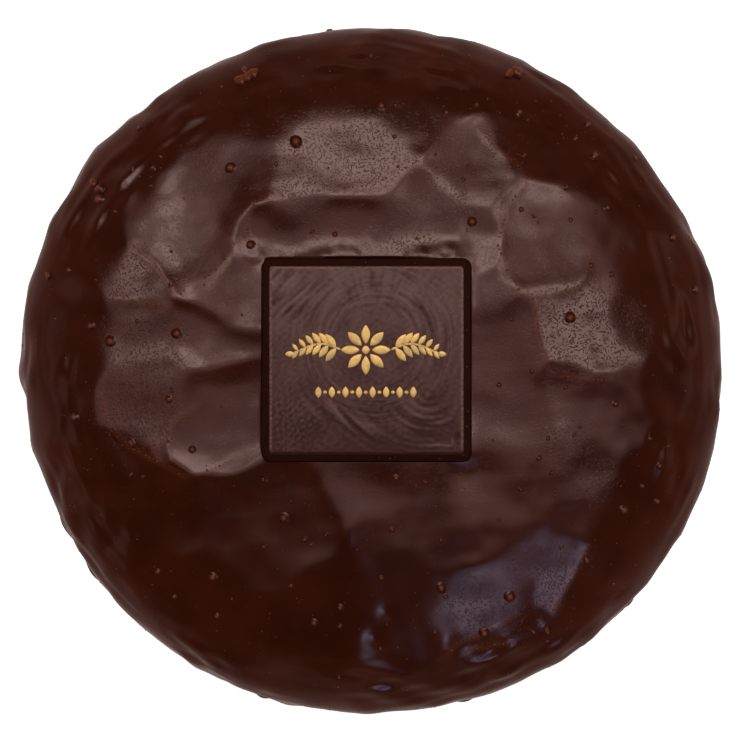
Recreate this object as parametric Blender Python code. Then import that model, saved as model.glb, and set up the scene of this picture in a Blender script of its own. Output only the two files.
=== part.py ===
"""Lebkuchen: a round, low-domed biscuit in a chocolate coat, with a square chocolate plaque on top.

Units are metres and +Z is up. The origin is the centre of the flat underside. The coat is one
closed solid with a square pocket, and the plaque is a second solid that stands in that pocket.
"""

import math
import random

import bmesh
import bpy
from mathutils import Vector

MM = 0.001

# Outline of the coated biscuit, seen from above
MEAN_RADIUS = 45.05 * MM
OUTLINE_WAVES = (
    # height of the wave, number of waves round the outline, direction of one crest in degrees
    (0.10 * MM, 1, 50),
    (0.55 * MM, 2, 167),
    (0.18 * MM, 3, 24),
    (0.15 * MM, 4, 65),
    (0.06 * MM, 5, 13),
    (0.06 * MM, 9, 21),
)

# Section of the coated biscuit
GIRTH_HEIGHT = 5.2 * MM
DOME_RISE = 11.5 * MM
DOME_POWER = 2.6
FOOT_INSET = 1.5 * MM
FOOT_ROUND = 0.45 * MM

# Shallow bowls that give the coat its soft facets: x, y, depth and radius of curvature
TOP_BOWLS = (
    (-4 * MM, 29 * MM, 0.10 * MM, 80 * MM),
    (12 * MM, 24 * MM, 0.10 * MM, 80 * MM),
    (-5 * MM, 19 * MM, 0.14 * MM, 55 * MM),
    (-19 * MM, 25 * MM, 0.08 * MM, 80 * MM),
    (23 * MM, 17 * MM, 0.12 * MM, 80 * MM),
    (28 * MM, 5 * MM, 0.14 * MM, 80 * MM),
    (17 * MM, 3 * MM, 0.10 * MM, 60 * MM),
    (25 * MM, -7 * MM, 0.12 * MM, 50 * MM),
    (16 * MM, -16 * MM, 0.10 * MM, 50 * MM),
    (2 * MM, -15 * MM, 0.14 * MM, 80 * MM),
    (-30 * MM, 11 * MM, 0.10 * MM, 50 * MM),
    (-20 * MM, 4 * MM, 0.14 * MM, 60 * MM),
    (-30 * MM, -4 * MM, 0.12 * MM, 80 * MM),
    (-19 * MM, -8 * MM, 0.12 * MM, 60 * MM),
    (-13 * MM, -22 * MM, 0.06 * MM, 80 * MM),
    (6 * MM, -27 * MM, 0.06 * MM, 80 * MM),
    (22 * MM, -26 * MM, 0.10 * MM, 80 * MM),
)

# Bowls round the shoulder and the flank, laid in rings: radius, height above the underside, number
BOWL_RINGS = (
    (37.0 * MM, 12.5 * MM, 17),
    (42.5 * MM, 9.3 * MM, 23),
    (44.8 * MM, 4.0 * MM, 29),
)
RING_BOWL_DEPTH = 0.07 * MM
RING_BOWL_RADIUS = 45 * MM
RING_SCATTER = 1.1 * MM
RING_SEED = 7
RIDGE_SOFTNESS = 0.02 * MM
RIDGE_CEILING = 0.15 * MM

# Plaque
PLAQUE_CENTRE = Vector((-0.52 * MM, 1.27 * MM, 0.0))
PLAQUE_BASE_SIZE = (26.9 * MM, 26.1 * MM)
PLAQUE_TOP_SIZE = (24.9 * MM, 24.0 * MM)
PLAQUE_BASE_CORNER = 1.0 * MM
PLAQUE_TOP_CORNER = 0.4 * MM
PLAQUE_STAND = 2.2 * MM
PLAQUE_SINK = 1.2 * MM
PLAQUE_EDGE_ROUND = 0.15 * MM
POCKET_GAP = 0.3 * MM

# Lip of coat pushed up round the plaque
LIP_RISE = 0.35 * MM
LIP_WIDTH = 1.1 * MM

# Fineness of the mesh: every loop has the same number of points
SIDE_STEPS = 20
CORNER_STEPS = 4
DOME_LOOPS = 21
FLANK_LOOPS = 7

DOME_TOP = GIRTH_HEIGHT + DOME_RISE
POCKET_FLOOR = DOME_TOP - PLAQUE_SINK - POCKET_GAP
PLAQUE_TOP = DOME_TOP + PLAQUE_STAND


def clear_scene():
    """Remove whatever objects the open file holds."""
    for item in list(bpy.data.objects):
        bpy.data.objects.remove(item, do_unlink=True)


def chocolate(name, colour, roughness):
    """Return a glossy dark chocolate material."""
    material = bpy.data.materials.new(name)
    material.use_nodes = True
    shader = material.node_tree.nodes["Principled BSDF"]
    shader.inputs["Base Color"].default_value = (*colour, 1.0)
    shader.inputs["Roughness"].default_value = roughness
    shader.inputs["Metallic"].default_value = 0.0
    material.diffuse_color = (*colour, 1.0)
    return material


def coat_chocolate():
    """Return the shiny coat's material."""
    return chocolate("coat_chocolate", (0.045, 0.012, 0.006), 0.30)


def plaque_chocolate():
    """Return the moulded plaque's duller material."""
    return chocolate("plaque_chocolate", (0.060, 0.020, 0.012), 0.42)


def outline_radius(angle):
    """Return the girth's radius in the given direction."""
    radius = MEAN_RADIUS
    for height, count, crest in OUTLINE_WAVES:
        radius += height * math.cos(count * (angle - math.radians(crest)))
    return radius


def dome_point(x, y):
    """Return the smooth dome's point above (x, y), before bowls are pressed into it."""
    reach = min(math.hypot(x, y) / outline_radius(math.atan2(y, x)), 1.0)
    rise = (1.0 - reach**DOME_POWER) ** (1.0 / DOME_POWER)
    return Vector((x, y, GIRTH_HEIGHT + DOME_RISE * rise))


def outward(point):
    """Return the smooth surface's unit normal at a point on the dome or the flank."""
    flat = Vector((point.x, point.y, 0.0))
    radius = outline_radius(math.atan2(point.y, point.x))
    reach = min(flat.length / radius, 1.0)
    rise = max(point.z - GIRTH_HEIGHT, 0.0) / DOME_RISE
    sideways = flat.normalized() * (reach ** (DOME_POWER - 1.0) / radius)
    upward = Vector((0.0, 0.0, rise ** (DOME_POWER - 1.0) / DOME_RISE))
    return (sideways + upward).normalized()


def bowl_list():
    """Return every bowl as its centre on the smooth surface, its depth and its radius."""
    bowls = [(dome_point(x, y), depth, radius) for x, y, depth, radius in TOP_BOWLS]
    scatter = random.Random(RING_SEED)
    for ring_radius, height, count in BOWL_RINGS:
        for index in range(count):
            angle = 2.0 * math.pi * (index + scatter.uniform(-0.3, 0.3)) / count
            radius = ring_radius + scatter.uniform(-RING_SCATTER, RING_SCATTER)
            level = height + scatter.uniform(-RING_SCATTER, RING_SCATTER)
            centre = Vector((radius * math.cos(angle), radius * math.sin(angle), level))
            depth = RING_BOWL_DEPTH * scatter.uniform(0.3, 1.6)
            bowls.append((centre, depth, RING_BOWL_RADIUS))
    return bowls


def relief(point, bowls):
    """Return how far the coat stands out at a point: the softly joined lowest of all bowls."""
    total = math.exp(-RIDGE_CEILING / RIDGE_SOFTNESS)
    for centre, depth, radius in bowls:
        level = (point - centre).length_squared / (2.0 * radius) - depth
        total += math.exp(-level / RIDGE_SOFTNESS)
    return -RIDGE_SOFTNESS * math.log(total)


def distance_outside_pocket(x, y):
    """Return how far (x, y) is outside the plaque's square, or zero within it."""
    over_x = abs(x - PLAQUE_CENTRE.x) - PLAQUE_BASE_SIZE[0] / 2.0
    over_y = abs(y - PLAQUE_CENTRE.y) - PLAQUE_BASE_SIZE[1] / 2.0
    return math.hypot(max(over_x, 0.0), max(over_y, 0.0))


def lip(x, y):
    """Return the height of the lip of coat round the plaque."""
    distance = distance_outside_pocket(x, y)
    return LIP_RISE * math.exp(-((distance / LIP_WIDTH) ** 2))


def rounded_square(size, corner, height):
    """Return a closed loop of points round a rounded square about the plaque's centre."""
    half_x = size[0] / 2.0 - corner
    half_y = size[1] / 2.0 - corner
    loop = []
    for quarter in range(4):
        turn = quarter * math.pi / 2.0
        sign_x = 1.0 if quarter in (0, 3) else -1.0
        sign_y = 1.0 if quarter in (0, 1) else -1.0
        hub = PLAQUE_CENTRE + Vector((sign_x * half_x, sign_y * half_y, height))
        for step in range(CORNER_STEPS):
            angle = turn + step / (CORNER_STEPS - 1) * math.pi / 2.0
            loop.append(hub + corner * Vector((math.cos(angle), math.sin(angle), 0.0)))
        next_turn = turn + math.pi / 2.0
        next_x = 1.0 if quarter in (2, 3) else -1.0
        next_y = 1.0 if quarter in (0, 3) else -1.0
        next_hub = PLAQUE_CENTRE + Vector((next_x * half_x, next_y * half_y, height))
        start = loop[-1].copy()
        end = next_hub + corner * Vector((math.cos(next_turn), math.sin(next_turn), 0.0))
        for step in range(1, SIDE_STEPS):
            loop.append(start.lerp(end, step / SIDE_STEPS))
    return loop


def girth_loop(inner):
    """Return the girth's points, one in the direction of each point of the inner loop."""
    loop = []
    for point in inner:
        direction = point - PLAQUE_CENTRE
        angle = math.atan2(direction.y, direction.x)
        radius = outline_radius(angle)
        loop.append(Vector((radius * math.cos(angle), radius * math.sin(angle), GIRTH_HEIGHT)))
    return loop


def coat_point(x, y, bowls):
    """Return the finished coat's point that belongs to (x, y) on the dome."""
    point = dome_point(x, y)
    moved = point + outward(point) * relief(point, bowls)
    moved.z += lip(x, y)
    return moved


def dome_loops(pocket, girth, bowls):
    """Return the loops from the pocket's mouth out to the girth."""
    shares = [0.0, 0.035]
    shares += [math.sin(0.5 * math.pi * (step + 1) / DOME_LOOPS) for step in range(DOME_LOOPS)]
    loops = []
    for share in shares:
        flat = [inner.lerp(outer, share) for inner, outer in zip(pocket, girth)]
        loops.append([coat_point(point.x, point.y, bowls) for point in flat])
    for mouth, inner in zip(loops[0], pocket):
        mouth.x, mouth.y = inner.x, inner.y
    return loops


def flank_loops(girth, bowls):
    """Return the loops from below the girth down to the rounded foot and the flat underside."""
    loops = []
    for step in range(1, FLANK_LOOPS + 1):
        fall = step / FLANK_LOOPS
        height = FOOT_ROUND + (GIRTH_HEIGHT - FOOT_ROUND) * (1.0 - fall)
        inset = FOOT_INSET * fall**2
        loop = []
        for outer in girth:
            side = Vector((outer.x, outer.y, 0.0)).normalized()
            point = Vector((outer.x, outer.y, height)) - side * inset
            loop.append(point + side * relief(point, bowls) * (1.0 - fall))
        loops.append(loop)
    underside = []
    for point in loops[-1]:
        side = Vector((point.x, point.y, 0.0)).normalized()
        underside.append(Vector((point.x, point.y, 0.0)) - side * FOOT_ROUND)
    loops.append(underside)
    return loops


def mesh_from_loops(name, loops):
    """Return a closed mesh: quads between neighbouring loops and a flat cap on both ends."""
    shape = bmesh.new()
    rings = [[shape.verts.new(point) for point in loop] for loop in loops]
    for first, second in zip(rings, rings[1:]):
        for index in range(len(first)):
            following = (index + 1) % len(first)
            shape.faces.new((first[index], first[following], second[following], second[index]))
    shape.faces.new(rings[0])
    shape.faces.new(list(reversed(rings[-1])))
    bmesh.ops.recalc_face_normals(shape, faces=shape.faces)
    bmesh.ops.triangulate(shape, faces=shape.faces)
    mesh = bpy.data.meshes.new(name)
    shape.to_mesh(mesh)
    shape.free()
    return mesh


def place(name, mesh, material):
    """Put a mesh in the scene as a named object with one material and soft shading."""
    mesh.materials.append(material)
    mesh.shade_smooth()
    mesh.set_sharp_from_angle(angle=math.radians(40))
    item = bpy.data.objects.new(name, mesh)
    bpy.context.scene.collection.objects.link(item)
    return item


def build_coat():
    """Build the coated biscuit, solid from its dome to its flat underside."""
    pocket_size = [side + 2.0 * POCKET_GAP for side in PLAQUE_BASE_SIZE]
    pocket_corner = PLAQUE_BASE_CORNER + POCKET_GAP
    floor = rounded_square(pocket_size, pocket_corner, POCKET_FLOOR)
    girth = girth_loop(floor)
    bowls = bowl_list()
    loops = [floor] + dome_loops(floor, girth, bowls) + flank_loops(girth, bowls)
    return place("coated_biscuit", mesh_from_loops("coated_biscuit", loops), coat_chocolate())


def build_plaque():
    """Build the plaque: upright below the coat's surface, with drafted sides above it."""
    bottom = DOME_TOP - PLAQUE_SINK
    inner_top = [side - 2.0 * PLAQUE_EDGE_ROUND for side in PLAQUE_TOP_SIZE]
    loops = [
        rounded_square(PLAQUE_BASE_SIZE, PLAQUE_BASE_CORNER, bottom),
        rounded_square(PLAQUE_BASE_SIZE, PLAQUE_BASE_CORNER, DOME_TOP),
        rounded_square(PLAQUE_TOP_SIZE, PLAQUE_TOP_CORNER, PLAQUE_TOP - PLAQUE_EDGE_ROUND),
        rounded_square(inner_top, PLAQUE_TOP_CORNER - PLAQUE_EDGE_ROUND, PLAQUE_TOP),
    ]
    return place("plaque", mesh_from_loops("plaque", loops), plaque_chocolate())


def centre_on_origin(items, guide):
    """Shift all meshes so that the guide's box stands centred on the origin."""
    corners = [vertex.co for vertex in guide.data.vertices]
    middle = [(min(c[k] for c in corners) + max(c[k] for c in corners)) / 2.0 for k in (0, 1)]
    for item in items:
        for vertex in item.data.vertices:
            vertex.co.x -= middle[0]
            vertex.co.y -= middle[1]


def main():
    """Build both solids and centre them."""
    clear_scene()
    coat = build_coat()
    plaque = build_plaque()
    centre_on_origin([coat, plaque], coat)


main()
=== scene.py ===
"""Looks of a chocolate-coated lebkuchen with a moulded plaque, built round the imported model."""

import logging
import math
from dataclasses import dataclass, replace
from enum import Enum

import bmesh
import bpy
import numpy as np
from mathutils import Euler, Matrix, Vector


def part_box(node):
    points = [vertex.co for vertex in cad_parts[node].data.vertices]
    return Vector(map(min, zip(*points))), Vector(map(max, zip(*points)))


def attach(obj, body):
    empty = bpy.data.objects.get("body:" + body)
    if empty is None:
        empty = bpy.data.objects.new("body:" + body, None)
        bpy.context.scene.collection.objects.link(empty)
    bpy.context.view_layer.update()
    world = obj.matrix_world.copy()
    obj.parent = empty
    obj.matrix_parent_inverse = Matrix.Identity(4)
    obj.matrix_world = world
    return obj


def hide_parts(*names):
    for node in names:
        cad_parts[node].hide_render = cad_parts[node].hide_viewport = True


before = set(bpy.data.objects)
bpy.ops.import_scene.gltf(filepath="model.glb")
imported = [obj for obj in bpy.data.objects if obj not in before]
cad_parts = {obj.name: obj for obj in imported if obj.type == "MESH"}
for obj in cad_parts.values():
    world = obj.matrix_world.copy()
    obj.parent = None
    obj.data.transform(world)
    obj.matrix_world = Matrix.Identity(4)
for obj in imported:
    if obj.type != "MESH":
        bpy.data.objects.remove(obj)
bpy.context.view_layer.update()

MM = 0.001
BODY = "root"
LOG = logging.getLogger("lebkuchen")

# How the facets are levelled: the height in millimetres where two of them meet and how much that
# counts, then the reach in millimetres that sets a facet's usual level and how much that counts.
CREST_HEIGHT = 0.05
NEAR_DOME = 0.35
TYPICAL_REACH = 5.0
NEAR_USUAL = 0.1

# The picture's side in pixels and a pixel's size in millimetres.
PICTURE_SIDE = 744
PIXEL_SIZE = 0.13

# Middle of the arcs brushed into the plaque's face, and the steps of a rounded edge in degrees.
BRUSH_CENTRE = (0.5 * MM, 3.6 * MM)
EDGE_STEPS = (30.0, 60.0, 90.0)

Colour = tuple[float, float, float]
Pair = tuple[float, float]
Array = np.ndarray
Socket = bpy.types.NodeSocket
Feed = Socket | float | Colour


class Slot(Enum):
    """The record's material slots."""

    COAT = "coat"
    PLAQUE = "plaque"
    GOLD = "gold_print"


class Node(Enum):
    """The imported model's nodes."""

    BISCUIT = "coated_biscuit"
    PLAQUE = "plaque"


# ---- shapes over space


@dataclass(frozen=True)
class Ripples:
    """Smooth random waves through space, the same at each run."""

    wavelength: float
    height: float
    seed: int
    count: int = 28

    def at(self, points: Array) -> Array:
        """Evaluate the waves.

        Args:
            points: Places as an array that ends in x, y, z, in metres.

        Returns:
            One height for each place.
        """
        source = np.random.default_rng(self.seed)
        ways = source.normal(size=(self.count, points.shape[-1]))
        ways /= np.linalg.norm(ways, axis=1, keepdims=True)
        lengths = self.wavelength * source.uniform(0.7, 1.5, self.count)
        phases = source.uniform(0.0, 2.0 * math.pi, self.count)
        turns = points @ (ways / lengths[:, None]).T * 2.0 * math.pi + phases
        return self.height * np.cos(turns).sum(axis=-1) / math.sqrt(self.count / 2.0)


@dataclass(frozen=True)
class BiscuitForm:
    """The smooth body before its coat's relief: an uneven round outline under a low dome."""

    mean_radius: float = 45.05 * MM
    waves: tuple[tuple[float, int, float], ...] = (
        (0.10 * MM, 1, 50.0),
        (0.55 * MM, 2, 167.0),
        (0.18 * MM, 3, 24.0),
        (0.15 * MM, 4, 65.0),
        (0.06 * MM, 5, 13.0),
        (0.06 * MM, 9, 21.0),
    )
    girth_height: float = 5.2 * MM
    dome_rise: float = 11.5 * MM
    dome_power: float = 2.6

    def outline(self, angle: Array) -> Array:
        """Return the girth's radius in each direction, in metres.

        Args:
            angle: Directions in plan, in radians.

        Returns:
            One radius for each direction.
        """
        radius = np.full_like(angle, self.mean_radius)
        for height, count, crest in self.waves:
            radius += height * np.cos(count * (angle - math.radians(crest)))
        return radius

    def dome(self, x: Array, y: Array) -> Array:
        """Return the dome's points above the given places.

        Args:
            x: Places along X, in metres.
            y: Places along Y, in metres.

        Returns:
            An array that ends in x, y, z.
        """
        reach = np.minimum(np.hypot(x, y) / self.outline(np.arctan2(y, x)), 1.0)
        rise = (1.0 - reach**self.dome_power) ** (1.0 / self.dome_power)
        return np.stack([x, y, self.girth_height + self.dome_rise * rise], axis=-1)

    def outward(self, points: Array) -> Array:
        """Return the smooth surface's unit normals at points on the dome or below the girth.

        Args:
            points: Places as an array that ends in x, y, z, in metres.

        Returns:
            A unit vector for each point.
        """
        x, y, z = points[..., 0], points[..., 1], points[..., 2]
        away = np.hypot(x, y) + 1e-9
        radius = self.outline(np.arctan2(y, x))
        reach = np.minimum(away / radius, 1.0)
        rise = np.maximum(z - self.girth_height, 0.0) / self.dome_rise
        side = reach ** (self.dome_power - 1.0) / radius
        up = rise ** (self.dome_power - 1.0) / self.dome_rise
        normal = np.stack([side * x / away, side * y / away, up], axis=-1)
        return normal / np.linalg.norm(normal, axis=-1, keepdims=True)


@dataclass(frozen=True)
class Facet:
    """One shallow bowl of the coat, in millimetres and degrees.

    It is given by its middle, how far its middle leans from the smooth dome (east is +X, north
    is +Y), how fast it curves up, and how far it is drawn out along a heading. Past its reach it
    rises steeply, so that it stays a small place of its own. Its level follows from the places
    where it meets its neighbours.
    """

    name: str
    x: float
    y: float
    east: float
    north: float
    curve: float
    stretch: float = 1.0
    heading: float = 0.0
    level: float = 0.0
    reach: float = 7.5
    rise_at_reach: float = 0.05

    def height(self, points: Array, form: BiscuitForm) -> Array:
        """Return the bowl's height over the smooth surface at each point, in metres.

        Args:
            points: Places as an array that ends in x, y, z, in metres.
            form: The smooth body.

        Returns:
            One height for each point.
        """
        middle = form.dome(np.array([self.x * MM]), np.array([self.y * MM]))[0]
        offset = points - middle
        heading = math.radians(self.heading)
        along = offset[..., 0] * math.cos(heading) + offset[..., 1] * math.sin(heading)
        square = (offset**2).sum(axis=-1) - (1.0 - 1.0 / self.stretch**2) * along**2
        lean = math.tan(math.radians(self.east)) * offset[..., 0]
        lean = lean + math.tan(math.radians(self.north)) * offset[..., 1]
        beyond = self.rise_at_reach * MM * (square / (self.reach * MM) ** 2) ** 3
        return self.level * MM - lean + self.curve / MM * square + beyond


FACETS = tuple(
    Facet(*row)
    for row in (
        ("north_1", -3, 28.5, 0, -2.1, 0.0085, 1.5, 0), ("north_2", -5, 17.6, 1, -3, 0.026, 2.4, 5),
        ("north_3", 5.5, 21, -1, -3.5, 0.017, 1.7, 62), ("north_4", 13, 27, 0, 0, 0.011),
        ("north_5", 13, 18, -1, -1, 0.02), ("north_6", -19.5, 27.5, 1.5, -2, 0.014),
        ("north_7", -23, 22.5, 0, -1, 0.015), ("north_8", -26.5, 18.5, 1, -1, 0.014),
        ("north_9", -18.3, 20.5, -8, -1, 0.014, 2, 95), ("north_10", 6, 33.5, 0, 0, 0.01),
        ("north_11", 22, 30, 0, 0, 0.008), ("north_12", -2, 37, 0, 0, 0.009),
        ("north_13", -17, 34, 0, 0, 0.009), ("north_14", -29, 27, 0, 0, 0.009),
        ("west_1", -30.5, 11.8, 1.5, 0, 0.01), ("west_2", -23.5, 15.5, 0, 0, 0.018),
        ("west_3", -20, 10.6, 2, -1, 0.014, 1.4, 30),
        ("west_4", -21.5, 4.6, -1, -3.5, 0.036, 1.8, -8), ("west_5", -18.5, -5.5, 0, 0.5, 0.012),
        ("west_6", -30, -4, 1, 0, 0.009, 1.3, 90), ("west_7", -31, 4, 1, 0, 0.01),
        ("west_8", -36, 18, 0, 0, 0.01), ("west_9", -38, 4, 0, 0, 0.01),
        ("west_10", -34, -13, 0, 0, 0.01), ("east_1", 17.5, 5.5, -1, -5.5, 0.008),
        ("east_2", 15, 12, 0, -1, 0.014), ("east_3", 17, -4.5, 0, -1.1, 0.0125),
        ("east_4", 27.5, 5.5, -1, 1.2, 0.0045), ("east_5", 24, -6, 0, 1, 0.0115),
        ("east_6", 30, -5.5, 0, -0.2, 0.009), ("east_7", 28, -12, -1, 0.5, 0.03),
        ("east_8", 33.5, -7, -1, 0, 0.012), ("east_9", 21.5, -13.5, 0, 0, 0.014),
        ("east_10", 22.5, 17, -0.5, 2, 0.0085), ("east_11", 30.5, 17, 0, 0, 0.01),
        ("east_12", 34.6, 6, 0, 0, 0.022), ("east_13", 38, 12, 0, 0, 0.01),
        ("east_14", 29, 25, 0, 0, 0.01), ("south_1", -0.5, -14.6, 0, -0.5, 0.018, 1.7, -20),
        ("south_2", 16.5, -15.5, -2, 1.5, 0.013), ("south_3", -14, -20, 0, -1, 0.006),
        ("south_4", 6, -25, -1.5, 0, 0.004), ("south_5", -8, -30, 0, 0, 0.008),
        ("south_6", -19, -30, 0, 0, 0.008), ("south_7", -27, -20, 0, 0, 0.008),
        ("south_8", 21.5, -25.5, 0, -2, 0.01), ("south_9", 13, -29.5, 1.5, -1, 0.008),
        ("south_10", 19, -31, 0, 1, 0.012), ("south_11", 22.5, -33.5, -4, 3, 0.02),
        ("south_12", 14, -36, 0, 3, 0.016), ("south_13", 37, -15, 0, 0, 0.01),
        ("south_14", 33, -21, 0, 0, 0.01), ("south_15", 28, -28, 0, 0, 0.01),
        ("south_16", 5.5, -32, -1.5, 0, 0.004), ("south_17", 19.5, -20, 0, 0, 0.013, 1.6, 10),
        ("south_18", 28, -18.5, -1, 2, 0.006), ("south_19", 12, -22.5, 0, 0, 0.014),
        ("south_20", 7, -15.5, 0, -3.5, 0.01),
    )
)


@dataclass(frozen=True)
class Meeting:
    """A place, in millimetres, where two neighbouring facets come to one height."""

    first: str
    second: str
    x: float
    y: float


def met(first: str, *places: tuple[str, float, float]) -> tuple[Meeting, ...]:
    """Return one facet's meetings, each place given by the neighbour's name, x and y."""
    return tuple(Meeting(first, second, x, y) for second, x, y in places)


MEETINGS = (
    *met(
        "north_1", ("north_2", -9, 22.4), ("north_2", -2, 22.8), ("north_3", 3.5, 25.4),
        ("north_4", 9, 29.5), ("north_10", 4.5, 31), ("north_6", -15, 27),
    ),
    *met("north_9", ("north_6", -18, 24.5), ("north_1", -14.5, 24)),
    *met("north_1", ("north_12", -5, 32.5)),
    *met("north_2", ("north_9", -16, 19), ("north_3", 1, 20)),
    *met("north_3", ("north_5", 9, 18), ("north_4", 9, 24.5)),
    *met(
        "north_4", ("north_5", 12.5, 22), ("north_11", 16.5, 29), ("north_10", 9.5, 32),
        ("east_10", 19, 23.5),
    ),
    *met("north_5", ("east_10", 16.7, 17.5), ("east_2", 14.5, 14.5)),
    *met("north_6", ("north_7", -21, 25), ("north_13", -18, 31.5), ("north_14", -25, 27.5)),
    *met("north_7", ("north_8", -24.5, 20.5), ("north_9", -20, 22), ("north_14", -28.5, 24)),
    *met("north_8", ("west_2", -25.5, 16.5), ("west_1", -30, 15.5), ("west_8", -31.5, 19)),
    *met("north_9", ("west_2", -20, 18)),
    *met("west_1", ("west_2", -27.5, 13)),
    *met("west_2", ("west_3", -21.5, 12.3)),
    *met("west_1", ("west_3", -25.3, 10), ("west_7", -30, 8.7)),
    *met("west_3", ("west_4", -22, 8.8)),
    *met("west_7", ("west_4", -26.5, 5)),
    *met("west_1", ("west_8", -34.5, 13.5)),
    *met("west_7", ("west_9", -35, 4)),
    *met("west_4", ("west_5", -20, 0.8)),
    *met("west_7", ("west_6", -30, 0.5)),
    *met("west_4", ("west_6", -25.5, 1.5)),
    *met("west_5", ("west_6", -24.5, -6), ("south_7", -23, -13.5), ("south_3", -18, -12.3)),
    *met("west_6", ("west_10", -33, -8.5), ("west_10", -28.5, -11.5), ("west_9", -35.5, -3)),
    *met("west_10", ("south_7", -30, -16)),
    *met("south_3", ("south_7", -21, -20), ("south_1", -5.5, -16)),
    *met("south_1", ("south_4", 1.5, -20.3), ("south_20", 3.4, -15.5)),
    *met("south_20", ("south_19", 8.5, -20), ("south_2", 10.3, -16), ("south_4", 5, -20.5)),
    *met("south_2", ("south_19", 12, -20), ("south_17", 17, -19.8)),
    *met("south_17", ("south_8", 20, -22.5), ("south_19", 15, -21.5)),
    *met("south_19", ("south_9", 12.5, -25.8), ("south_4", 9, -23)),
    *met("south_18", ("south_8", 26.5, -22.3)),
    *met("south_17", ("south_18", 24, -19.5)),
    *met("south_18", ("east_7", 28.5, -15.9), ("east_9", 25, -16.5), ("south_14", 31, -19)),
    *met("south_17", ("east_9", 22, -17)),
    *met("south_2", ("east_9", 21, -14), ("east_3", 16.5, -9)),
    *met("east_3", ("east_1", 16.5, 1.4), ("east_4", 22, 2), ("east_5", 20, -4.5)),
    *met("east_1", ("east_2", 15.5, 9.5), ("east_4", 20.8, 8.5)),
    *met("east_2", ("east_10", 18, 12.5)),
    *met("east_4", ("east_10", 23.5, 10), ("east_11", 29, 11)),
    *met("east_10", ("east_11", 28, 14.5), ("east_14", 25, 23.5)),
    *met("east_11", ("east_14", 30.5, 21), ("east_13", 34, 15)),
    *met("east_4", ("east_12", 33.2, 6)),
    *met("east_12", ("east_13", 36, 8.2)),
    *met("east_4", ("east_5", 24, -1.2), ("east_6", 30, -1.2)),
    *met("east_5", ("east_6", 27.8, -5), ("east_9", 22, -10.8), ("east_7", 26.5, -10.2)),
    *met("east_6", ("east_7", 29.5, -10.2), ("east_8", 32.5, -6.5)),
    *met("east_7", ("east_8", 31.5, -11), ("east_9", 26, -13), ("south_14", 31, -16)),
    *met("east_8", ("south_13", 36, -9)),
    *met(
        "south_8", ("south_9", 16.5, -26), ("south_10", 20, -29.5), ("south_14", 28.5, -21.5),
        ("south_15", 27, -25.5),
    ),
    *met("south_9", ("south_16", 9.8, -30), ("south_10", 16, -29.5)),
    *met("south_10", ("south_11", 21, -32), ("south_12", 14.5, -33.8)),
    *met("south_11", ("south_12", 20, -35), ("south_15", 24.5, -31)),
    *met("south_9", ("south_4", 11, -25.5)),
    *met("south_4", ("south_16", 5, -29), ("south_5", -2, -28)),
    *met("south_5", ("south_16", 0, -32), ("south_6", -13, -31)),
    *met("south_6", ("south_7", -24, -26)),
    *met("south_3", ("south_6", -17, -25), ("south_5", -9, -25.5)),
    *met("north_11", ("east_14", 26, 27)),
    *met("north_13", ("north_14", -24, 32)),
    *met("north_12", ("north_13", -9, 36)),
    *met("north_10", ("north_12", 2.5, 35.5)),
    *met("north_14", ("west_8", -34, 23)),
    *met("west_8", ("west_9", -38.5, 11)),
    *met("west_9", ("west_10", -38, -5)),
    *met("south_3", ("south_4", -3, -23)),
    *met("east_13", ("east_14", 35, 20)),
    *met("south_13", ("south_14", 36, -19)),
    *met("south_14", ("south_15", 32, -25)),
)


def levelled(
    facets: tuple[Facet, ...], meetings: tuple[Meeting, ...], form: BiscuitForm
) -> tuple[Facet, ...]:
    """Raise or lower each facet so that neighbours meet, close to the smooth dome.

    Args:
        facets: The facets, with any level.
        meetings: Where they meet.
        form: The smooth body.

    Returns:
        The facets with the levels that come closest to all the meetings.
    """
    order = {facet.name: index for index, facet in enumerate(facets)}
    flat = [replace(facet, level=0.0) for facet in facets]
    rows = []
    wanted = []

    def ask(parts: dict[str, float], value: float, weight: float) -> None:
        """Ask that the named levels, times their parts, add up to a value.

        Args:
            parts: The part of each named level.
            value: What they should add up to.
            weight: How much it counts.
        """
        row = np.zeros(len(facets))
        for name, part in parts.items():
            row[order[name]] = part * weight
        rows.append(row)
        wanted.append(value * weight)

    for meeting in meetings:
        place = form.dome(np.array([meeting.x * MM]), np.array([meeting.y * MM]))
        pair = (meeting.first, meeting.second)
        first, second = (flat[order[name]].height(place, form)[0] / MM for name in pair)
        ask({meeting.first: 1.0, meeting.second: -1.0}, second - first, 1.0)
        ask({meeting.first: 1.0}, CREST_HEIGHT - first, NEAR_DOME)
        ask({meeting.second: 1.0}, CREST_HEIGHT - second, NEAR_DOME)
    for facet in facets:
        ask({facet.name: 1.0}, -facet.curve * TYPICAL_REACH**2, NEAR_USUAL)
    levels = np.linalg.lstsq(np.array(rows), np.array(wanted), rcond=None)[0]
    return tuple(replace(facet, level=float(level)) for facet, level in zip(facets, levels))


@dataclass(frozen=True)
class Crest:
    """A narrow crest between facets, as a line through places in millimetres.

    The coat lies thin over it, so it is sharper and redder than the soft swells elsewhere.
    """

    places: tuple[Pair, ...]
    width: float = 0.9

    def distance(self, x: Array, y: Array) -> Array:
        """Return how far places are from the line, all in metres.

        Args:
            x: Places along X, in metres.
            y: Places along Y, in metres.

        Returns:
            One distance for each place.
        """
        nearest = np.full_like(x, 1.0)
        for (x0, y0), (x1, y1) in zip(self.places[:-1], self.places[1:]):
            run = np.array([x1 - x0, y1 - y0]) * MM
            share = ((x - x0 * MM) * run[0] + (y - y0 * MM) * run[1]) / (run @ run)
            share = np.clip(share, 0.0, 1.0)
            gap = np.hypot(x - x0 * MM - share * run[0], y - y0 * MM - share * run[1])
            nearest = np.minimum(nearest, gap)
        return nearest


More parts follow.
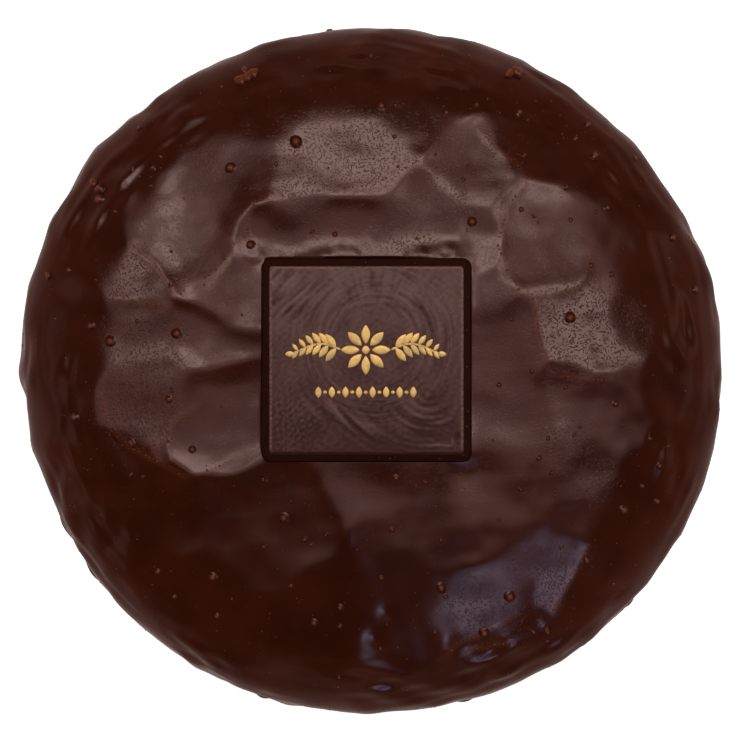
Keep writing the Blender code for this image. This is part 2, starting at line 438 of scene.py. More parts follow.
CRESTS = (
    Crest(((-15.2, 16.2), (-16, 18), (-16, 20), (-15, 21.5), (-12.5, 22.9)), 1.0),
    Crest(((-4, 23.4), (0, 24), (3, 25.2), (5, 26.5), (7.5, 28)), 0.9),
    Crest(((-31, 16.5), (-30, 15.3), (-28, 13.8), (-26.3, 11.8), (-25.4, 9.6))),
    Crest(((-24.5, 9.8), (-23.5, 11), (-20.5, 12.5), (-18.5, 14.8))),
    Crest(((-26.5, 8.4), (-30, 8.8), (-33, 9.7))),
    Crest(((20, 24.2), (18.2, 22), (16.9, 18.7), (16.3, 16.2), (17.5, 13), (19, 10.4)), 1.0),
    Crest(((20.7, 9.8), (21.4, 6), (22.4, 1.2), (23, -0.3), (27, -1.2), (31, -1.2))),
    Crest(((20.7, 9.6), (24, 10), (26.5, 10.8), (28, 13), (28.6, 15.5))),
    Crest(((-35, -3), (-34, -7), (-31, -10), (-27, -12), (-24, -13.7), (-20, -12.5), (-17, -11))),
    Crest(((-22.5, -4.5), (-26, -7), (-28, -9.7))),
    Crest(((14, 31), (16, 28.8), (18.5, 27), (20, 24.8), (25, 24))),
    Crest(((28, -22.5), (27, -25), (24.5, -29), (23.5, -31))),
    Crest(((10, -36.5), (11, -35.3), (13.5, -34.4), (15.5, -33.4), (19, -31.5))),
    Crest(((12, -36.3), (15, -35.6), (18.3, -35.2))),
)


@dataclass(frozen=True)
class Fold:
    """A long fold near the rim where the coat slid and stopped: a slow rise, then a short drop.

    Its line is given by places as (angle in degrees, radius in millimetres).
    """

    places: tuple[Pair, ...]
    rise: float = 0.13
    inner: float = 1.8
    outer: float = 0.38

    def height(self, x: Array, y: Array) -> Array:
        """Return the fold's rise at each place, in metres.

        Args:
            x: Places along X, in metres.
            y: Places along Y, in metres.

        Returns:
            One height for each place.
        """
        angles = np.array([place[0] for place in self.places])
        radii = np.array([place[1] for place in self.places])
        angle = (np.degrees(np.arctan2(y, x)) - angles[0] + 180.0) % 360.0 - 180.0
        past = np.hypot(x, y) / MM - np.interp(angle, angles - angles[0], radii)
        width = np.where(past < 0.0, self.inner, self.outer)
        ends = np.clip(np.minimum(angle, angles[-1] - angles[0] - angle) / 4.0 + 0.5, 0.0, 1.0)
        return self.rise * MM * ends * np.exp(-((past / width) ** 2))


FOLDS = (
    Fold(((205.0, 43.6), (213.0, 43.4), (219.0, 43.2), (227.0, 43.3)), 0.14),
    Fold(((208.0, 42.0), (216.0, 41.6), (224.0, 41.9)), 0.10),
    Fold(((233.0, 42.6), (242.0, 43.2), (250.0, 43.4), (257.0, 43.4)), 0.13),
    Fold(((40.0, 43.6), (46.0, 42.9), (52.0, 42.7), (57.0, 43.0), (63.0, 43.4)), 0.13),
    Fold(((24.0, 44.0), (30.0, 43.2), (36.0, 43.0)), 0.13),
    Fold(((134.0, 42.6), (141.0, 42.6)), 0.11),
    Fold(((127.0, 43.8), (134.0, 43.6)), 0.11),
    Fold(((330.0, 43.6), (337.0, 43.8), (342.0, 43.9)), 0.10),
    Fold(((300.0, 43.4), (309.0, 43.0), (317.0, 43.4)), 0.10),
    Fold(((-16.0, 40.0), (-9.0, 40.8), (-2.0, 41.0), (4.0, 40.6)), 0.07, 1.4, 0.8),
    Fold(((-11.0, 42.4), (-3.0, 42.7), (6.0, 42.6), (14.0, 42.9)), 0.08, 1.2, 0.6),
    Fold(((168.0, 42.6), (175.0, 42.2), (183.0, 42.5)), 0.08, 1.3, 0.6),
    Fold(((100.0, 42.8), (107.0, 42.3), (114.0, 42.4)), 0.08, 1.3, 0.6),
    Fold(((66.0, 42.6), (73.0, 42.1), (80.0, 42.5)), 0.08, 1.3, 0.6),
)


@dataclass(frozen=True)
class Dent:
    """A small round dent: its middle, radius and depth in millimetres."""

    x: float
    y: float
    radius: float
    depth: float

    def height(self, x: Array, y: Array) -> Array:
        """Return the dent's height at each place, in metres: zero or less."""
        away = np.hypot(x - self.x * MM, y - self.y * MM) / (self.radius * MM)
        return -self.depth * MM * np.exp(-(away**2))


DENTS = tuple(
    Dent(*row)
    for row in (
        (1.9, -31.4, 0.9, 0.17), (0.4, -34.6, 1.1, 0.22), (21.6, -32.2, 1.4, 0.20),
        (12.2, -35.2, 1.0, 0.07), (-39.5, 9.5, 1.6, 0.12), (-37.5, 19.0, 1.5, 0.10),
        (33.8, 25.0, 1.5, 0.12), (37.5, 19.5, 1.6, 0.12), (40.6, 7.0, 1.5, 0.10),
        (26.5, 33.0, 1.4, 0.10), (-27.0, 33.0, 1.5, 0.10), (-33.5, -22.0, 1.6, 0.10),
        (39.0, -9.0, 1.5, 0.10),
    )
)


@dataclass(frozen=True)
class BowlRing:
    """Bowls laid round the shoulder or the flank, with seeded scatter."""

    radius: float
    height: float
    count: int
    depth: float
    curve: float
    seed: int
    scatter: float = 1.3 * MM

    def bowls(self) -> list[tuple[Array, float]]:
        """Return each bowl's middle and its depth.

        Returns:
            Pairs of a middle and a depth, in metres.
        """
        source = np.random.default_rng(self.seed)
        found = []
        for index in range(self.count):
            angle = 2.0 * math.pi * (index + source.uniform(-0.3, 0.3)) / self.count
            radius = self.radius + source.uniform(-self.scatter, self.scatter)
            height = self.height + source.uniform(-self.scatter, self.scatter)
            middle = np.array([radius * math.cos(angle), radius * math.sin(angle), height])
            found.append((middle, self.depth * source.uniform(0.3, 1.7)))
        return found


# ---- mesh helpers


def mesh_from_loops(name: str, loops: Array) -> bpy.types.Mesh:
    """Skin closed loops into a closed mesh, with a fan of triangles on both ends.

    Args:
        name: The mesh's name.
        loops: Array of loops, points and coordinates. Loops run counter-clockwise seen from
            above, from the innermost upper one out and down to the lowest one.

    Returns:
        A smooth-shaded mesh whose last two vertices are the caps' middles.
    """
    rows, columns, _ = loops.shape
    middles = np.stack([loops[0].mean(axis=0), loops[-1].mean(axis=0)])
    points = np.concatenate([loops.reshape(-1, 3), middles])
    first = np.arange(columns)
    second = np.roll(first, -1)
    base = np.arange(rows - 1)[:, None] * columns
    quads = np.stack([base + first, base + columns + first, base + columns + second, base + second], -1)
    top = np.stack([np.full(columns, rows * columns), first, second], -1)
    last = (rows - 1) * columns
    bottom = np.stack([np.full(columns, rows * columns + 1), last + second, last + first], -1)
    corners = np.concatenate([quads.reshape(-1), top.reshape(-1), bottom.reshape(-1)])
    sizes = np.concatenate([np.full((rows - 1) * columns, 4), np.full(2 * columns, 3)])
    mesh = bpy.data.meshes.new(name)
    mesh.vertices.add(len(points))
    mesh.vertices.foreach_set("co", points.astype(np.float32).ravel())
    mesh.loops.add(len(corners))
    mesh.loops.foreach_set("vertex_index", corners.astype(np.int32))
    mesh.polygons.add(len(sizes))
    mesh.polygons.foreach_set("loop_start", (np.cumsum(sizes) - sizes).astype(np.int32))
    mesh.update(calc_edges=True)
    mesh.validate()
    mesh.shade_smooth()
    return mesh


def add_attribute(mesh: bpy.types.Mesh, name: str, values: Array) -> None:
    """Store one number, or one vector, for each vertex under the given name.

    Args:
        mesh: The mesh.
        name: The attribute's name.
        values: The values, vertex by vertex.
    """
    kind, field_name = ("FLOAT", "value") if values.ndim == 1 else ("FLOAT_VECTOR", "vector")
    layer = mesh.attributes.new(name, kind, "POINT")
    layer.data.foreach_set(field_name, values.astype(np.float32).ravel())


def show(name: str, mesh: bpy.types.Mesh) -> bpy.types.Object:
    """Put a mesh into the scene as an object at the origin and return it.

    Args:
        name: The object's name.
        mesh: The mesh.

    Returns:
        The object.
    """
    item = bpy.data.objects.new(name, mesh)
    bpy.context.scene.collection.objects.link(item)
    return item


def report(item: bpy.types.Object) -> None:
    """Log a finished piece's name and size."""
    item.data.calc_loop_triangles()
    LOG.info("%s: %d triangles", item.name, len(item.data.loop_triangles))


# ---- finishes


class Shader:
    """A material under construction, with short calls for the nodes that the finishes share."""

    def __init__(self, name: str) -> None:
        """Start a material with a Principled shader.

        Args:
            name: The material's name.
        """
        self.material = bpy.data.materials.new(name)
        self.material.use_nodes = True
        self.nodes = self.material.node_tree.nodes
        self.links = self.material.node_tree.links
        self.surface = self.nodes["Principled BSDF"]
        self.place = self.nodes.new("ShaderNodeTexCoord").outputs["Object"]

    def attribute(self, name: str) -> Socket:
        """Return the factor of a mesh attribute.

        Args:
            name: The attribute's name.

        Returns:
            The factor.
        """
        node = self.nodes.new("ShaderNodeAttribute")
        node.attribute_name = name
        return node.outputs["Fac"]

    def axis(self, name: str) -> Socket:
        """Return one coordinate of the place on the piece, in metres.

        Args:
            name: X, Y or Z.

        Returns:
            The coordinate.
        """
        node = self.nodes.new("ShaderNodeSeparateXYZ")
        self.links.new(self.place, node.inputs["Vector"])
        return node.outputs[name]

    def noise(self, size: float, detail: float = 2.0, distortion: float = 0.0) -> Socket:
        """Return a noise whose blots are about the given size in metres.

        Args:
            size: Size of a blot, in metres.
            detail: How many finer layers it has.
            distortion: How far it is bent.

        Returns:
            The noise, from 0 to 1.
        """
        node = self.nodes.new("ShaderNodeTexNoise")
        node.inputs["Scale"].default_value = 1.0 / size
        node.inputs["Detail"].default_value = detail
        node.inputs["Distortion"].default_value = distortion
        self.links.new(self.place, node.inputs["Vector"])
        return node.outputs["Fac"]

    def rings(self, centre: Pair, width: float, length: float) -> tuple[Socket, Socket]:
        """Return a noise drawn out into arcs, and each place's distance from their middle.

        Args:
            centre: The arcs' middle in plan, in metres.
            width: Width of one arc, in metres.
            length: How far an arc runs before it fades, in metres.

        Returns:
            The noise, from 0 to 1, and the distance in metres.
        """
        split = self.nodes.new("ShaderNodeSeparateXYZ")
        self.links.new(self.place, split.inputs["Vector"])
        across = self.math("SUBTRACT", split.outputs["X"], centre[0])
        along = self.math("SUBTRACT", split.outputs["Y"], centre[1])
        square = self.math("ADD", self.math("POWER", across, 2.0), self.math("POWER", along, 2.0))
        join = self.nodes.new("ShaderNodeCombineXYZ")
        radius = self.math("SQRT", square)
        self.links.new(self.math("MULTIPLY", radius, length / width), join.inputs["X"])
        self.links.new(across, join.inputs["Y"])
        self.links.new(along, join.inputs["Z"])
        node = self.nodes.new("ShaderNodeTexNoise")
        node.inputs["Scale"].default_value = 1.0 / length
        self.links.new(join.outputs["Vector"], node.inputs["Vector"])
        return node.outputs["Fac"], radius

    def spread(self, value: Socket, low: float, high: float, start: float, end: float) -> Socket:
        """Return a value mapped from low-high to start-end, and held beyond.

        Args:
            value: The value.
            low: Where the range starts.
            high: Where it ends.
            start: Result at its start.
            end: Result at its end.

        Returns:
            The mapped value.
        """
        node = self.nodes.new("ShaderNodeMapRange")
        self.links.new(value, node.inputs["Value"])
        for socket, number in zip(("From Min", "From Max", "To Min", "To Max"), (low, high, start, end)):
            node.inputs[socket].default_value = number
        return node.outputs["Result"]

    def feed(self, socket: Socket, value: Feed) -> None:
        """Link another socket to a socket, or set it to a number or a colour."""
        if isinstance(value, Socket):
            self.links.new(value, socket)
        else:
            socket.default_value = (*value, 1.0) if isinstance(value, tuple) else value

    def math(self, operation: str, first: Feed, second: Feed = 0.0) -> Socket:
        """Return a calculation on two sockets or numbers.

        Args:
            operation: The Math node's operation.
            first: Its first value.
            second: Its second value.

        Returns:
            The result.
        """
        node = self.nodes.new("ShaderNodeMath")
        node.operation = operation
        for socket, value in zip(node.inputs, (first, second)):
            self.feed(socket, value)
        return node.outputs["Value"]

    def blend(self, factor: Socket, first: Feed, second: Feed) -> Socket:
        """Return a colour between two colours or colour sockets.

        Args:
            factor: Share of the second colour.
            first: The first colour.
            second: The second colour.

        Returns:
            The colour.
        """
        node = self.nodes.new("ShaderNodeMix")
        node.data_type = "RGBA"
        self.links.new(factor, node.inputs["Factor"])
        for socket, value in zip((node.inputs[6], node.inputs[7]), (first, second)):
            self.feed(socket, value)
        return node.outputs[2]

    def bump(self, height: Socket, depth: float, under: Socket | None = None) -> Socket:
        """Return a normal roughened by a height from 0 to 1 that stands for the given depth.

        Args:
            height: The height.
            depth: Depth in metres.
            under: A normal to start from.

        Returns:
            The normal.
        """
        node = self.nodes.new("ShaderNodeBump")
        node.inputs["Distance"].default_value = depth
        node.inputs["Strength"].default_value = 1.0
        self.links.new(height, node.inputs["Height"])
        if under is not None:
            self.links.new(under, node.inputs["Normal"])
        return node.outputs["Normal"]

    def plug(self, name: str, value: Feed) -> None:
        """Set one of the surface's sockets to a socket, a number or a colour."""
        self.feed(self.surface.inputs[name], value)


@dataclass(frozen=True)
class CoatFinish:
    """Dark couverture: a deep brown with a warm sheen and a fine crinkled grain."""

    dark: Colour = (0.042, 0.0062, 0.0017)
    light: Colour = (0.058, 0.0096, 0.0034)
    thin: Colour = (0.110, 0.026, 0.011)
    sheen_tint: Colour = (1.0, 0.53, 0.49)
    gloss: float = 0.5
    smooth: float = 0.19
    dull: float = 0.42
    maze_size: float = 1.15 * MM
    maze_turns: float = 6.5
    maze_bend: float = 0.8
    cloud_size: float = 6.0 * MM
    speck_size: float = 0.45 * MM
    break_size: float = 0.28 * MM
    grain_depth: float = 0.020 * MM

    def material(self) -> bpy.types.Material:
        """Return the coat's material.

        Returns:
            The finished material.
        """
        shader = Shader("coat_chocolate")
        clouds = shader.spread(shader.noise(self.cloud_size, 3.0), 0.35, 0.65, 0.0, 1.0)
        brown = shader.blend(clouds, self.dark, self.light)
        crest = shader.spread(shader.attribute("crest"), 0.25, 0.6, 0.0, 0.35)
        brown = shader.blend(crest, brown, self.thin)
        specks = shader.spread(shader.noise(self.speck_size, 1.0), 0.74, 0.80, 0.0, 0.8)
        shader.plug("Base Color", shader.blend(specks, brown, self.thin))
        turns = self.maze_turns * 2.0 * math.pi
        maze = shader.math("MULTIPLY", shader.noise(self.maze_size, 0.0, self.maze_bend), turns)
        maze = shader.math("SINE", maze)
        breaks = shader.spread(shader.noise(self.break_size, 0.0), 0.3, 0.7, -1.1, 0.6)
        worms = shader.spread(shader.math("ADD", maze, breaks), 0.35, 1.0, 0.0, 1.0)
        dip = shader.math("MULTIPLY", worms, shader.attribute("grain"))
        shader.plug("Roughness", shader.spread(dip, 0.0, 1.0, self.smooth, self.dull))
        shader.plug("Normal", shader.bump(shader.math("SUBTRACT", 1.0, dip), self.grain_depth))
        shader.plug("Specular IOR Level", self.gloss)
        shader.plug("Specular Tint", self.sheen_tint)
        return shader.material


@dataclass(frozen=True)
class BumpFinish:
    """Coat drawn thin over crumbs of nut: redder towards each tip."""

    coat: CoatFinish = CoatFinish()
    gloss: float = 0.4
    tip: Colour = (0.22, 0.048, 0.021)
    patch_size: float = 0.3 * MM

    def material(self) -> bpy.types.Material:
        """Return the bumps' material.

        Returns:
            The finished material.
        """
        shader = Shader("thin_chocolate")
        tip = shader.spread(shader.attribute("tip"), 0.30, 1.0, 0.0, 1.0)
        shader.plug("Base Color", shader.blend(tip, self.coat.dark, self.tip))
        shader.plug("Roughness", shader.spread(shader.noise(self.patch_size), 0.3, 0.7, 0.17, 0.26))
        shader.plug("Specular IOR Level", self.gloss)
        shader.plug("Specular Tint", self.coat.sheen_tint)
        return shader.material


@dataclass(frozen=True)
class PlaqueFinish:
    """Moulded chocolate: silky with a breath of bloom on its face, glossy on its sides. Its colour also
    carries a painted sheen, lighter towards the face's top and darker towards its bottom, and a painted
    highlight along the face's edges.
    """

    face: Colour = (0.017, 0.0036, 0.0024)
    # The face's light colour, used both for the bloom in its marks and dust and for the painted sheen
    # towards the top.
    bloom_and_sheen: Colour = (0.122, 0.067, 0.057)
    # Painted highlight: the lighter colour laid along the face's edges.
    edge_highlight: Colour = (0.22, 0.12, 0.10)
    side: Colour = (0.030, 0.0062, 0.0026)
    sheen_tint: Colour = (1.0, 0.40, 0.36)
    face_roughness: float = 0.44
    side_roughness: float = 0.20
    # The painted sheen runs from none at the bottom height to most at the top height.
    painted_sheen_top: float = 13.0 * MM
    painted_sheen_bottom: float = -12.0 * MM
    gloss: float = 0.55
    brush_centre: Pair = BRUSH_CENTRE
    line_width: float = 0.34 * MM
    line_length: float = 4.5 * MM
    line_depth: float = 0.012 * MM
    brushed_from: Pair = (3.5 * MM, 6.5 * MM)
    brushed_to: Pair = (9.0 * MM, 12.0 * MM)
    most_mark: float = 2.0
    silk: float = 0.10
    dust_size: float = 0.30 * MM
    dust_shades: Pair = (-0.06, 0.10)
    crumble_size: float = 0.22 * MM
    crumble_depth: float = 0.005 * MM

    def material(self) -> bpy.types.Material:
        """Return the plaque's material.

        Returns:
            The finished material.
        """
        shader = Shader("plaque_chocolate")
        marks = shader.attribute("brushed")
        # Painted sheen: the face's colour grows lighter from its bottom to its top, standing in for the
        # light's sheen on it.
        height = shader.spread(shader.axis("Y"), self.painted_sheen_bottom, self.painted_sheen_top, 0.0, 0.85)
        dust = shader.spread(shader.noise(self.dust_size, 3.0), 0.35, 0.70, *self.dust_shades)
        streaks = shader.spread(marks, -self.most_mark, self.most_mark, -0.50, 0.50)
        shade = shader.math("ADD", streaks, height)
        noise, radius = shader.rings(self.brush_centre, self.line_width, self.line_length)
        near = shader.spread(radius, *self.brushed_from, 0.0, 1.0)
        far = shader.spread(radius, *self.brushed_to, 1.0, 0.1)
        lines = shader.math("MULTIPLY", shader.spread(noise, 0.46, 0.66, 0.0, 1.0), near)
        lines = shader.math("MULTIPLY", lines, far)
        shade = shader.math("ADD", shade, shader.spread(lines, 0.0, 1.0, -0.08, 0.34))
        face = shader.blend(shader.math("ADD", shade, dust), self.face, self.bloom_and_sheen)
        on_face = shader.attribute("face")
        # Painted highlight: a lighter colour along the face's edge, broken up by the dust noise, stands in
        # for light caught by the rounded edge.
        highlight_breaks = shader.spread(dust, *self.dust_shades, 0.1, 0.75)
        edge_highlight = shader.math("MULTIPLY", shader.attribute("edge"), highlight_breaks)
        colour = shader.blend(edge_highlight, shader.blend(on_face, self.side, face), self.edge_highlight)
        shader.plug("Base Color", colour)
        rougher, smoother = self.face_roughness + self.silk, self.face_roughness - self.silk
        silk = shader.spread(marks, -self.most_mark, self.most_mark, rougher, smoother)
        rough = shader.math("MULTIPLY", shader.math("SUBTRACT", silk, self.side_roughness), on_face)
        shader.plug("Roughness", shader.math("ADD", rough, self.side_roughness))
        crumble = shader.bump(shader.noise(self.crumble_size, 3.0, 1.0), self.crumble_depth)
        shader.plug("Normal", shader.bump(lines, self.line_depth, crumble))
        shader.plug("Specular IOR Level", self.gloss)
        shader.plug("Specular Tint", self.sheen_tint)
        return shader.material


@dataclass(frozen=True)
class GoldFinish:
    """Edible gold print: satin, brighter and duller in soft patches."""

    bright: Colour = (0.77, 0.40, 0.125)
    dull: Colour = (0.50, 0.28, 0.115)
    metallic: float = 0.7
    patch_size: float = 2.2 * MM
    satin_size: float = 0.2 * MM
    pit_size: float = 0.18 * MM
    pit_depth: float = 0.006 * MM

    def material(self) -> bpy.types.Material:
        """Return the print's material.

        Returns:
            The finished material.
        """
        shader = Shader("gold_print")
        patches = shader.spread(shader.noise(self.patch_size, 3.0), 0.52, 0.72, 0.0, 1.0)
        shader.plug("Base Color", shader.blend(patches, self.bright, self.dull))
        shader.plug("Roughness", shader.spread(shader.noise(self.satin_size, 2.0), 0.3, 0.7, 0.34, 0.48))
        shader.plug("Metallic", self.metallic)
        shader.plug("Normal", shader.bump(shader.noise(self.pit_size, 2.0), self.pit_depth))
        return shader.material


@dataclass(frozen=True)
class FloorFinish:
    """A plain pale floor with a light of its own, so that it stays clean white."""

    colour: Colour = (0.80, 0.80, 0.80)
    glow: float = 0.92
    roughness: float = 0.9

    def material(self) -> bpy.types.Material:
        """Return the floor's material.

        Returns:
            The finished material.
        """
        shader = Shader("pale_floor")
        shader.plug("Base Color", self.colour)
        shader.plug("Roughness", self.roughness)
        shader.plug("Emission Color", (1.0, 1.0, 1.0))
        shader.plug("Emission Strength", self.glow)
        return shader.material


# ---- plaque and its seat


@dataclass(frozen=True)
class PlaqueForm:
    """Sizes of the plaque and of its seat in the coat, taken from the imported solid."""

    low: Vector
    high: Vector
    draft: float = 1.04 * MM
    base_corner: float = 1.15 * MM
    top_corner: float = 0.35 * MM
    seat_gap: float = 0.10 * MM

    @property
    def middle(self) -> Array:
        """The plaque's middle in plan."""
        return np.array([(self.low.x + self.high.x) / 2.0, (self.low.y + self.high.y) / 2.0])

    @property
    def half_base(self) -> Array:
        """Half the plaque's sides at its foot."""
        return np.array([(self.high.x - self.low.x) / 2.0, (self.high.y - self.low.y) / 2.0])

    def rim(self, count: int, grow: float, corner: float) -> Array:
        """Return evenly spaced points round a rounded square about the plaque's middle.

        Args:
            count: Number of points, a multiple of four.
            grow: How far the square stands outside the plaque's foot, in metres.
            corner: Radius of its corners, in metres.

        Returns:
            Array of x, y, counter-clockwise from the middle of the +X side.
        """
        half = self.half_base + grow
        straight = 2.0 * (half - corner)
        arc = corner * math.pi / 2.0
        side = straight[1] / 2.0
        lengths = [side, arc, straight[0], arc, straight[1], arc, straight[0], arc, side]
        ends = np.concatenate([[0.0], np.cumsum(lengths)])
        walk = np.arange(count) / count * ends[-1]
        hubs = (half - corner) * np.array([[1, 1], [-1, 1], [-1, -1], [1, -1]])
        points = np.zeros((count, 2))
        for index, distance in enumerate(walk):
            part = int(np.searchsorted(ends, distance, side="right")) - 1
            rest = distance - ends[part]
            if part % 2 == 1:
                turn = (part // 2) * math.pi / 2.0 + rest / max(corner, 1e-9)
                points[index] = hubs[part // 2] + corner * np.array([math.cos(turn), math.sin(turn)])
            elif part == 0:
                points[index] = (half[0], rest)
            elif part == 8:
                points[index] = (half[0], rest - side)
            else:
                starts = {2: (hubs[0][0], half[1]), 4: (-half[0], hubs[1][1]), 6: (hubs[2][0], -half[1])}
                start = starts[part]
                way = {2: (-1, 0), 4: (0, -1), 6: (1, 0)}[part]
                points[index] = np.array(start) + rest * np.array(way)
        return points + self.middle

    def outside(self, x: Array, y: Array) -> Array:
        """Return how far places are outside the plaque's foot, in metres.

        Args:
            x: Places along X, in metres.
            y: Places along Y, in metres.

        Returns:
            One distance for each place, 0 over the plaque.
        """
        over_x = np.abs(x - self.middle[0]) - self.half_base[0]
        over_y = np.abs(y - self.middle[1]) - self.half_base[1]
        return np.hypot(np.maximum(over_x, 0.0), np.maximum(over_y, 0.0))


# ---- coat


@dataclass(frozen=True)
class GrainPatch:
    """A place where the coat set with a crinkled grain, in millimetres."""

    x: float
    y: float
    radius: float
    amount: float = 1.0


GRAIN_PATCHES = tuple(
    GrainPatch(*row)
    for row in (
        (-3, 11, 31.0, 0.20), (5, 6, 28.0, 0.22), (27, 5.5, 6.5, 0.95), (32, 4, 4.0, 0.8),
        (23, 15, 5.5, 0.30), (-9, 29, 5.0, 0.45), (-1, 28.5, 6.0, 0.60), (8, 28, 4.5, 0.45),
        (15, 27, 5.0, 0.30), (-9, 23.8, 3.5, 0.6), (-21, 25.5, 5.0, 0.32), (-27, 18, 5.0, 0.30),
        (-31, 11.5, 4.0, 0.65), (-24, 13.5, 3.5, 0.4), (-29, 3, 6.0, 0.65), (-30, -5, 6.0, 0.75),
        (10.5, 21.5, 3.0, 0.6), (5, 16.3, 4.0, 0.6), (25, -9, 4.0, 0.6), (28.5, -14, 3.5, 0.6),
        (22, -26, 5.0, 0.35), (13, -30, 4.5, 0.30), (19, -31.5, 4.0, 0.40), (13, -35, 3.0, 0.5),
    )
)


@dataclass(frozen=True)
class FootSpill:
    """A place where the coat ran out a little under the flank: direction, half width, reach."""

    angle: float
    width: float
    reach: float


@dataclass
class Coat:
    """The coated biscuit: dome with soft facets, lip round the plaque, flank, foot, underside."""

    form: BiscuitForm
    plaque: PlaqueForm
    facets: tuple[Facet, ...] = FACETS
    rings: tuple[BowlRing, ...] = (
        BowlRing(40.3 * MM, 11.0 * MM, 25, 0.12 * MM, 0.014, 11),
        BowlRing(43.3 * MM, 8.2 * MM, 31, 0.12 * MM, 0.018, 12),
        BowlRing(44.8 * MM, 3.6 * MM, 29, 0.12 * MM, 0.018, 13),
    )
    spills: tuple[FootSpill, ...] = (
        FootSpill(97.0, 1.2, 0.22 * MM),
        FootSpill(207.0, 4.5, 0.10 * MM),
        FootSpill(216.0, 4.0, 0.16 * MM),
        FootSpill(251.5, 2.6, 0.22 * MM),
        FootSpill(286.0, 3.2, 0.18 * MM),
        FootSpill(308.0, 3.0, 0.12 * MM),
        FootSpill(318.0, 3.0, 0.12 * MM),
    )
    crests: tuple[Crest, ...] = CRESTS
    folds: tuple[Fold, ...] = FOLDS
    dents: tuple[Dent, ...] = DENTS
    grain_patches: tuple[GrainPatch, ...] = GRAIN_PATCHES
    bend_seeds: tuple[int, ...] = (21, 22, 23)
    bend_size: float = 9.0 * MM
    crest_reach: float = 2.0 * MM
    fine_ripples: tuple[Ripples, ...] = (
        Ripples(6.5 * MM, 0.016 * MM, 31),
        Ripples(3.4 * MM, 0.007 * MM, 33),
        Ripples(2.6 * MM, 0.0040 * MM, 32),
    )
    swell_softness: float = 0.14 * MM
    crest_softness: float = 0.035 * MM
    ridge_ceiling: float = 0.45 * MM
    rib_rise: float = 0.02 * MM
    rim_from: float = 36.5 * MM
    rim_fade: float = 4.0 * MM
    rim_ripples: Ripples = Ripples(3.4 * MM, 0.095 * MM, 34)
    rim_stretch: float = 30.0 * MM
    lumpy_places: Ripples = Ripples(11.0 * MM, 0.7, 35)
    warp: float = 0.55 * MM
    lip_rise: float = 0.12 * MM
    lip_from: float = 0.8 * MM
    lip_run: float = 1.2 * MM
    lip_least: float = 0.25
    lip_ripples: Ripples = Ripples(2.3 * MM, 0.24, 41)
    lip_distance: float = 0.70 * MM
    lip_width: float = 1.4 * MM
    bead_fade: float = 7.0 * MM
    lip_swells: tuple[Pair, ...] = ((-15.4, 1.3), (-3.6, 3.0), (7.6, 4.2))
    bead_rise: float = 0.02 * MM
    bead_distance: float = 0.25 * MM
    bead_width: float = 0.22 * MM
    foot_calm: float = 0.7
    spill_from: float = 0.72
    spill_run: float = 0.2
    underside_shares: tuple[float, ...] = (0.8, 0.5, 0.2)
    seat_depth: float = 0.05 * MM
    normal_step: float = 0.15 * MM
    foot_inset: float = 1.3 * MM
    foot_round: float = 0.5 * MM
    around: int = 680
    dome_loops: int = 108
    mouth_edge: float = 0.001
    even_share: float = 0.35
    flank_loops: int = 22

    def __post_init__(self) -> None:
        """Level the facets on this biscuit's form."""
        self.facets = levelled(self.facets, MEETINGS, self.form)

    def heights(self, points: Array) -> tuple[Array, Array]:
        """Work out the coat's relief.

        Args:
            points: Places on the smooth surface.

        Returns:
            The relief in metres, and how much of a crest each place is, from 0 to 1.
        """
        bends = [Ripples(self.bend_size, self.warp, seed).at(points) for seed in self.bend_seeds]
        bend = np.stack(bends, axis=-1)
        moved = points + bend
        levels = [facet.height(moved, self.form) for facet in self.facets]
        for ring in self.rings:
            for middle, depth in ring.bowls():
                levels.append(ring.curve / MM * ((moved - middle) ** 2).sum(axis=-1) - depth)
        levels.append(np.full(points.shape[:-1], self.ridge_ceiling))
        stack = np.stack(levels)
        sharp = np.zeros(points.shape[:-1])
        rib = np.zeros(points.shape[:-1])
        for crest in self.crests:
            distance = crest.distance(points[..., 0], points[..., 1])
            sharp = np.maximum(sharp, np.exp(-((distance / self.crest_reach) ** 2)))
            line = np.exp(-((distance / (0.5 * crest.width * MM)) ** 2))
            rib = np.maximum(rib, line)
        softness = self.swell_softness + (self.crest_softness - self.swell_softness) * sharp
        weights = np.exp(-(stack - stack.min(axis=0)) / softness)
        relief = stack.min(axis=0) - softness * np.log(weights.sum(axis=0))
        for shape in self.folds + self.dents:
            relief += shape.height(points[..., 0], points[..., 1])
        relief += self.rib_rise * rib
        away = np.hypot(points[..., 0], points[..., 1])
        turn = np.arctan2(points[..., 1], points[..., 0])
        fall = self.form.girth_height - points[..., 2]
        round_x, round_y = self.rim_stretch * np.cos(turn), self.rim_stretch * np.sin(turn)
        drawn = np.stack([away + fall, round_x, round_y], axis=-1)
        near_rim = np.clip((away - self.rim_from) / self.rim_fade, 0.0, 1.0)
        lumpy = np.clip(self.lumpy_places.at(points) + 0.55, 0.0, 1.3)
        relief += self.rim_ripples.at(drawn) * near_rim * lumpy
        for ripples in self.fine_ripples:
            relief += ripples.at(points)
        return relief, rib

    def lip(self, points: Array) -> Array:
        """Return the rise of the lip that the plaque pushed up behind its far side.

        Args:
            points: Places as an array that ends in x, y, z, in metres.

        Returns:
            One height for each point, in metres.
        """
        x, y = points[..., 0], points[..., 1]
        distance = self.plaque.outside(x, y)
        behind = np.clip((y - self.plaque.high.y + self.lip_from) / self.lip_run, 0.0, 1.0)
        swell = sum(np.exp(-(((x / MM - middle) / half) ** 2)) for middle, half in self.lip_swells)
        rise = self.lip_rise * behind**2 * (3.0 - 2.0 * behind) * (self.lip_least + swell)
        rise *= 1.0 + self.lip_ripples.at(points)
        bead = self.bead_rise * np.exp(-(((distance - self.bead_distance) / self.bead_width) ** 2))
        bead *= np.clip((x + y) / self.bead_fade - 1.0, 0.0, 1.0)
        return rise * np.exp(-(((distance - self.lip_distance) / self.lip_width) ** 2)) + bead

